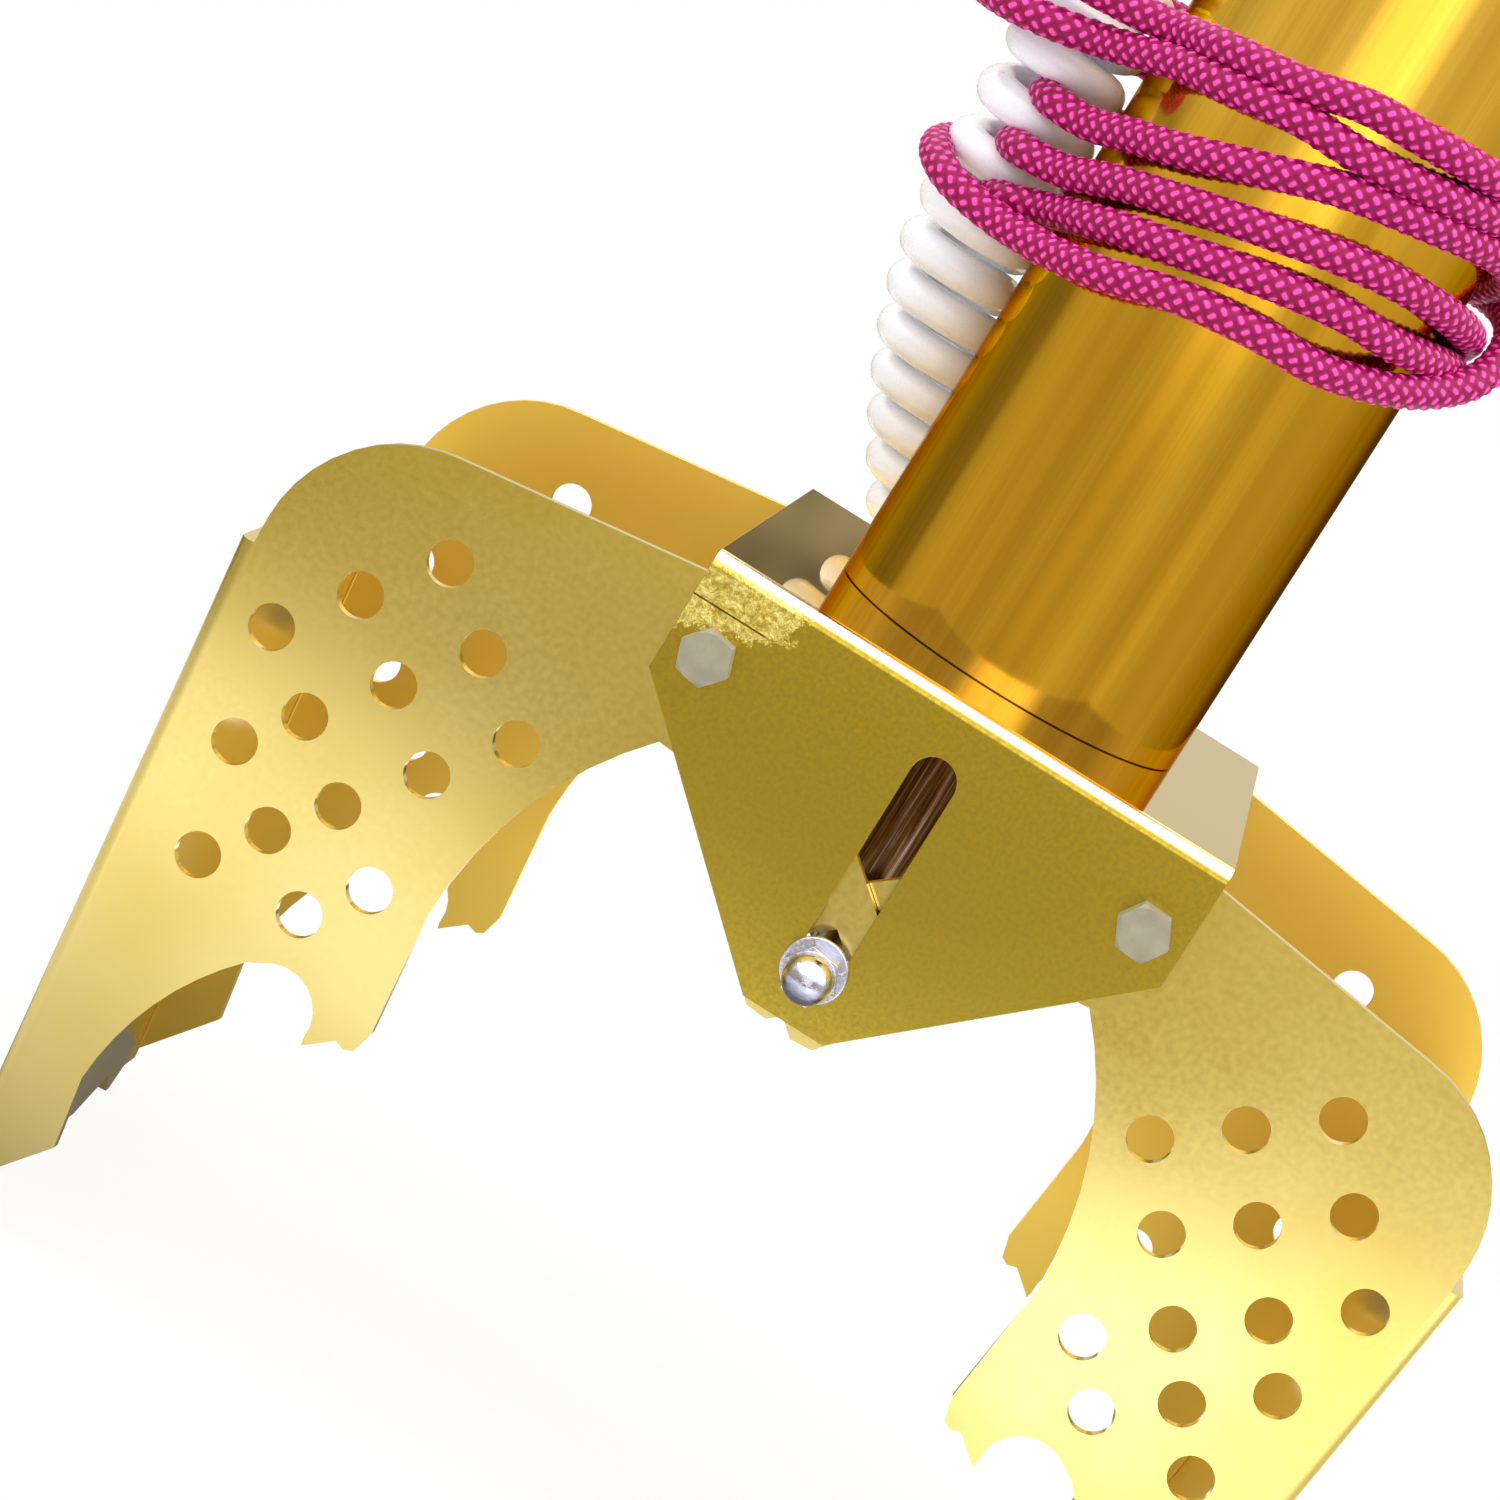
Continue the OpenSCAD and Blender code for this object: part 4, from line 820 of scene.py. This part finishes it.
def white_paper(node):
    """White paper with the grab's soft shadow.

    Metal shows it as a lit pool in front of and behind the grab, and the warm, dimmer room beyond it."""
    c = colours()
    place = node("ShaderNodeNewGeometry").outputs["Position"]
    x, y, _ = node("ShaderNodeSeparateXYZ", [place]).outputs
    away = node("ShaderNodeVectorMath", [place], operation="LENGTH").outputs["Value"]
    # What the eye sees: the shadow fades out 0.6 m from the grab
    lit = node("ShaderNodeBsdfDiffuse", {"Color": linear("#F4F4F4")})
    bare = node("ShaderNodeEmission", {"Color": c.ground})
    share = node("ShaderNodeMapRange", [away, 0.1, 0.6, 0.88, 1.0])
    paper = node("ShaderNodeMixShader", [share, lit, bare])
    # The pool, the same in front of the grab and behind it, brightest 0.38 m off
    sides = node("ShaderNodeMath", [y], operation="ABSOLUTE")
    folded = node("ShaderNodeCombineXYZ", {"X": x, "Y": sides})
    wide = node("ShaderNodeVectorMath", [folded, (0.5, 1, 1)], operation="MULTIPLY")
    off = node("ShaderNodeVectorMath", [wide, (0.08, 0.38, 0)], operation="DISTANCE").outputs["Value"]
    glow = node("ShaderNodeMapRange", [off, 0.02, 0.34, 1.72, 0.65], interpolation_type="SMOOTHSTEP")
    # The room all round: it brightens with distance, most of all towards the window
    around = node("ShaderNodeMath", [y, x], operation="ARCTAN2")
    turn = node("ShaderNodeMapRange", [around, -math.pi, math.pi])
    walls = node(
        "ShaderNodeValToRGB", {"Fac": turn},
        [((degrees + 180) / 360, (k / 1.25, k / 1.25, k / 1.25, 1)) for degrees, k in ROOM])
    farther = node("ShaderNodeMapRange", [away, 0.56, 0.82, 0.86, 1.6])
    strength = node("ShaderNodeMath", [walls.outputs["Color"], farther], operation="MULTIPLY")
    glint = node("ShaderNodeMath", [window_share(node, place), 0.9, 1.0], operation="MULTIPLY_ADD")
    distant = node("ShaderNodeMapRange", [away, 2.2, 6.0, 1.0, 1.25])
    distant = node("ShaderNodeMath", [distant, glint], operation="MULTIPLY")
    far = node("ShaderNodeMapRange", [away, 1.8, 4.0])
    distant = node("ShaderNodeMix", [far, 1.0, distant], data_type="FLOAT")
    strength = node("ShaderNodeMath", [strength, distant], operation="MULTIPLY")
    # The pool gives way to the room at its far side and where a tripod stands in it
    skewed = node("ShaderNodeMath", [x, -0.4, away], operation="MULTIPLY_ADD")
    beyond = node("ShaderNodeMapRange", [skewed, 0.49, 0.63])
    near = node("ShaderNodeVectorMath", [folded, (-0.01, 0.58, 0)], operation="DISTANCE").outputs["Value"]
    dim_patch = node("ShaderNodeMapRange", [near, 0.12, 0.19, 1.0, 0.0])
    dim = node("ShaderNodeMath", [beyond, dim_patch], operation="MAXIMUM")
    # Within a metre, the paper is brighter to the right and the left of the grab than before it
    right = node("ShaderNodeMapRange", [x, 0.035, 0.09, 1.0, 1.35])
    left = node("ShaderNodeMapRange", [x, -0.17, -0.12, 1.4, 1.0])
    beside = node("ShaderNodeMapRange", [away, 0.55, 0.68, 1.0, 0.0])
    left = node("ShaderNodeMix", [beside, 0.76, left], data_type="FLOAT")
    lifted = node("ShaderNodeMath", [right, left], operation="MULTIPLY")
    close = node("ShaderNodeMapRange", [away, 0.9, 1.05, 1.0, 0.0])
    lifted = node("ShaderNodeMix", [close, 1.0, lifted], data_type="FLOAT")
    # The paper behind the grab's legs is in its shade
    under = node("ShaderNodeVectorMath", [place, (0, 0.06, 0)], operation="DISTANCE").outputs["Value"]
    shade = node("ShaderNodeMapRange", [under, 0.12, 0.2, 0.25, 1.0])
    lifted = node("ShaderNodeMath", [lifted, shade], operation="MULTIPLY")
    warm = node("ShaderNodeMath", [lifted, 0.88], operation="POWER")
    glow = node("ShaderNodeMath", [glow, warm], operation="MULTIPLY")
    strength = node("ShaderNodeMath", [strength, lifted], operation="MULTIPLY")
    pool = node("ShaderNodeEmission", {"Color": c.ground, "Strength": glow})
    room = node("ShaderNodeEmission", {"Color": c.room, "Strength": strength})
    shown = node("ShaderNodeMixShader", [dim, pool, room])
    glossy = node("ShaderNodeLightPath").outputs["Is Glossy Ray"]
    return node("ShaderNodeMixShader", [glossy, paper, shown])


def dark_flag(node):
    """A dark olive board behind the grab, unevenly lit, which the bracket's mirror-bright top shows."""
    place = node("ShaderNodeNewGeometry").outputs["Position"]
    patch = node("ShaderNodeTexNoise", {"Vector": place, "Scale": 1 / 0.03, "Detail": 1.0})
    tone = node("ShaderNodeValToRGB", {"Fac": patch}, [(0.35, linear("#6B634C")), (0.65, linear("#9A9178"))])
    return node("ShaderNodeEmission", {"Color": tone})


def studio_world(node):
    """White for the camera; metal sees a grey horizon that brightens overhead."""
    path = node("ShaderNodeLightPath")
    straight = node(
        "ShaderNodeMath", [path.outputs["Is Camera Ray"], path.outputs["Is Transmission Ray"]],
        operation="MAXIMUM")
    where = node("ShaderNodeTexCoord").outputs["Generated"]
    _, y, z = node("ShaderNodeSeparateXYZ", [where]).outputs
    high = node("ShaderNodeMapRange", [z, 0.17, 0.62, 0.68, 2.6])
    # In front: a bright horizon with the window, dark above it, then bright overhead
    ahead = node("ShaderNodeValToRGB", {"Fac": z}, [(height, (k, k, k, 1)) for height, k in SKY_AHEAD])
    ahead = node("ShaderNodeMath", [ahead.outputs["Color"], 2.6], operation="MULTIPLY")
    lower = node("ShaderNodeMapRange", [z, 0.2, 0.35, 1.4, 0.0])
    ahead = node("ShaderNodeMath", [window_share(node, where), lower, ahead], operation="MULTIPLY_ADD")
    facing = node("ShaderNodeMapRange", [y, -0.3, 0.0, 1.0, 0.0])
    high = node("ShaderNodeMix", [facing, high, ahead], data_type="FLOAT")
    shiny = node("ShaderNodeBackground", {"Color": linear("#FFFCF0"), "Strength": high})
    fill = node("ShaderNodeBackground", {"Color": (1, 1, 1, 1), "Strength": 0.95})
    white = node("ShaderNodeBackground", {"Color": (1, 1, 1, 1), "Strength": 1.0})
    seen = node("ShaderNodeMixShader", [path.outputs["Is Glossy Ray"], fill, shiny])
    return node("ShaderNodeMixShader", [straight, seen, white])


def stage_board(name, corner, along, up, build):
    """A flat piece of the stage, in metres: from a corner, its two sides."""
    corner, along, up = Vector(corner), Vector(along), Vector(up)
    mesh = bpy.data.meshes.new(name)
    mesh.from_pydata([corner, corner + along, corner + along + up, corner + up], [], [(0, 1, 2, 3)])
    mesh.materials.append(finish_of(name + "_paint", build))
    board = mesh_object(name, mesh)
    return board


def soft_lamp(name, place, spread, power):
    """An area lamp aimed at the grab's middle."""
    data = bpy.data.lights.new(name, "AREA")
    data.shape = "RECTANGLE"
    data.size, data.size_y = spread
    data.energy = power
    lamp = bpy.data.objects.new(name, data)
    lamp.location = place
    lamp.visible_glossy = False
    lamp.rotation_euler = (Vector((0, 0, 0.15)) - Vector(place)).to_track_quat("-Z", "Y").to_euler()
    bpy.context.scene.collection.objects.link(lamp)


def set_stage():
    scene = bpy.context.scene
    scene.view_settings.view_transform = "Standard"
    scene.world = scene.world or bpy.data.worlds.new("studio")
    scene.world.use_nodes = True
    scene.world.node_tree.nodes.clear()
    node = partial(add, scene.world.node_tree)
    node("ShaderNodeOutputWorld", {"Surface": studio_world(node)})
    stage_board("floor", (-9, -9, 0), (18, 0, 0), (0, 18, 0), white_paper)
    flag = stage_board("flag", (-0.11, 0.6, 0.21), (0.09, 0, 0), (0, 0, 0.07), dark_flag)
    flag.visible_camera = flag.visible_diffuse = flag.visible_shadow = False
    soft_lamp("lamp_over", (0.1, -0.5, 1.5), (1.4, 1.0), 13)
    soft_lamp("lamp_left", (-1.3, -0.7, 0.7), (0.7, 1.0), 5)
    soft_lamp("lamp_right", (1.3, -0.5, 0.5), (0.7, 1.0), 4)


# ---- Operators -----------------------------------------------------------


class GRAB_OT_cord(bpy.types.Operator):
    """Makes the curly cord with its lead, curl, tail, sleeve and plug."""

    bl_idname = "grab.cord"
    bl_label = "Curly cord"

    def execute(self, context):
        dress_cord()
        return {"FINISHED"}


class GRAB_OT_rope(bpy.types.Operator):
    """Makes the braided rope wound round the housing."""

    bl_idname = "grab.rope"
    bl_label = "Rope"

    def execute(self, context):
        dress_rope()
        return {"FINISHED"}


class GRAB_OT_jaws(bpy.types.Operator):
    """Finishes the two folded jaws."""

    bl_idname = "grab.jaws"
    bl_label = "Jaws"

    def execute(self, context):
        sheet = finish_of("coated_sheet", coated_sheet)
        finished(["jaw_left", "jaw_right"], sheet, millimetres("sheet_edge"))
        return {"FINISHED"}


class GRAB_OT_bracket(bpy.types.Operator):
    """Finishes the folded bracket."""

    bl_idname = "grab.bracket"
    bl_label = "Bracket"

    def execute(self, context):
        finished(["bracket"], finish_of("bracket_sheet", bracket_sheet), millimetres("sheet_edge"))
        return {"FINISHED"}


class GRAB_OT_housing(bpy.types.Operator):
    """Finishes the housing tube and its cap."""

    bl_idname = "grab.housing"
    bl_label = "Housing"

    def execute(self, context):
        tube = finish_of("polished_tube", polished_tube)
        finished(["housing_tube", "top_cap"], tube, millimetres("turned_edge"))
        return {"FINISHED"}


class GRAB_OT_fasteners(bpy.types.Operator):
    """Makes the pivot bolts, their nuts and the base screws, and finishes the washers, sleeves and shims."""

    bl_idname = "grab.fasteners"
    bl_label = "Fasteners"

    def execute(self, context):
        zinc = finish_of("dull_zinc_plate", plated(colours().zinc, 0.5, 0.68, 0.5, 0.02, 0.3))
        flat = millimetres("head_af") / 2 * MM
        face, far = (corner.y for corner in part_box("bracket"))
        low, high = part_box("pivot_bolt_left")
        seats = [(side * PIVOT_X, face / MM, PIVOT_Z) for side in (-1, 1)]
        fasteners(
            "pivot_bolts", ["pivot_bolt_left", "pivot_bolt_right"],
            [(seat, (0, -1, 0), turn) for seat, turn in zip(seats, HEAD_TURNS)], zinc,
            Sides=6, Corner=flat / COS_30, Flat=flat, Height=face - low.y, Socket=0.0,
            Shank=PIVOT_D / 2 * MM, Length=high.y - face)
        fasteners(
            "pivot_nuts_finished", ["pivot_nuts"],
            [((x, far / MM, z), (0, 1, 0), 30) for x, _, z in seats], zinc,
            Sides=6, Corner=flat / COS_30, Flat=flat, Height=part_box("pivot_nuts")[1].y - far, Socket=0.0,
            Shank=PIVOT_D / 2 * MM, Length=1.5 * MM)
        low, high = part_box("base_screws")
        under = BASE_Z - SHEET_T
        fasteners(
            "base_screws_finished", ["base_screws"],
            [(round_tube(a, SCREW_RING, under), (0, 0, -1), a) for a in (90, 210, 330)], zinc,
            Sides=32, Corner=SCREW_HEAD / 2 * MM, Flat=SCREW_HEAD / 2 * MM, Height=under * MM - low.z,
            Socket=millimetres("screw_socket") / 2 / COS_30 * MM, Shank=2 * MM, Length=high.z - under * MM)
        finished(["spacer_sleeves", "spacer_washers", "cap_screws", "eye_nut", "core_nut"], zinc, 0.15)
        finished(["thin_shims"], finish_of("natural_nylon", moulded(linear("#E6E1D2"), 0.45)), 0)
        return {"FINISHED"}


class GRAB_OT_drive(bpy.types.Operator):
    """Finishes the cross stud with its nuts, the rod, the plunger and the spring."""

    bl_idname = "grab.drive"
    bl_label = "Drive"

    def execute(self, context):
        c = colours()
        nickel = finish_of("bright_nickel_plate", plated(c.nickel, 0.08, 0.2, 1.1, 0.15))
        steel = finish_of("burnished_steel", burnished_steel)
        finished(["cap_nut_front", "cap_nut_back", "stud_washers"], nickel, 0.3)
        finished(["drive_stud", "plunger_rod", "plunger"], steel, 0.3)
        zinc = finish_of("zinc_lock_nuts", plated(linear("#A9A79B"), 0.4, 0.55, 0.5))
        finished(["stud_lock_nuts"], zinc, 0.3)
        # The spring, which the plunger presses against the core as the jaws close, is finished and given a
        # mesh of its own
        finished(["return_spring"], finish_of("spring_wire", plated(linear("#9A9AA0"), 0.2, 0.3, 0.3)), 0)
        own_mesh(bpy.data.objects["return_spring_finished"])
        return {"FINISHED"}


class GRAB_OT_solenoid(bpy.types.Operator):
    """Finishes the coil, its former, the guide sleeve, the core and the pole plates."""

    bl_idname = "grab.solenoid"
    bl_label = "Solenoid"

    def execute(self, context):
        iron = finish_of("soft_iron", plated(linear("#7F7F84"), 0.35, 0.5, 0.4))
        finished(["base_pole_plate", "top_pole_plate", "fixed_core"], iron, 0.3)
        finished(["guide_sleeve"], finish_of("drawn_brass", plated(linear("#D2AA58"), 0.2, 0.3, 0.4)), 0.1)
        finished(["bobbin"], finish_of("glass_filled_nylon", moulded(linear("#DCD6C4"), 0.5)), 0.2)
        finished(["winding"], finish_of("enamelled_copper", wound_copper), 0.2)
        return {"FINISHED"}


class GRAB_OT_top(bpy.types.Operator):
    """Finishes the hanging eye and the cable gland."""

    bl_idname = "grab.top"
    bl_label = "Top fitting"

    def execute(self, context):
        nickel = finish_of("nickel_plated_eye", plated(linear("#C9C9D0"), 0.14, 0.24, 0.6))
        finished(["hanging_eye"], nickel, 0.6)
        black = finish_of("moulded_black_nylon", moulded(colours().nylon, 0.4, 0.7))
        finished(["gland_body", "gland_nut", "gland_lock_nut"], black, 0.3)
        return {"FINISHED"}


class GRAB_OT_stage(bpy.types.Operator):
    """Sets the floor, the world, the lamps and the camera."""

    bl_idname = "grab.stage"
    bl_label = "Stage"

    def execute(self, context):
        set_stage()
        place_camera()
        return {"FINISHED"}


OPERATORS = (
    GRAB_OT_cord, GRAB_OT_rope, GRAB_OT_jaws, GRAB_OT_bracket, GRAB_OT_housing, GRAB_OT_fasteners,
    GRAB_OT_drive, GRAB_OT_solenoid, GRAB_OT_top, GRAB_OT_stage,
)


class GRAB_PT_panel(bpy.types.Panel):
    """Lists the pieces, the sizes and the colours."""

    bl_idname = "GRAB_PT_panel"
    bl_label = "Solenoid grab"
    bl_space_type = "VIEW_3D"
    bl_region_type = "UI"
    bl_category = "Grab"

    def draw(self, context):
        for operator in OPERATORS:
            self.layout.operator(operator.bl_idname)
        for group in (context.scene.grab_sizes, context.scene.grab_colours):
            for name in group.bl_rna.properties.keys():
                if name not in ("rna_type", "name"):
                    self.layout.prop(group, name)


CLASSES = (GrabSizes, GrabColours) + OPERATORS + (GRAB_PT_panel,)


def register():
    for cls in CLASSES:
        bpy.utils.register_class(cls)
    bpy.types.Scene.grab_sizes = bpy.props.PointerProperty(type=GrabSizes)
    bpy.types.Scene.grab_colours = bpy.props.PointerProperty(type=GrabColours)


def unregister():
    del bpy.types.Scene.grab_colours
    del bpy.types.Scene.grab_sizes
    for cls in reversed(CLASSES):
        bpy.utils.unregister_class(cls)


def main():
    register()
    for operator in OPERATORS:
        group, name = operator.bl_idname.split(".")
        getattr(getattr(bpy.ops, group), name)()


if __name__ == "__main__":
    main()
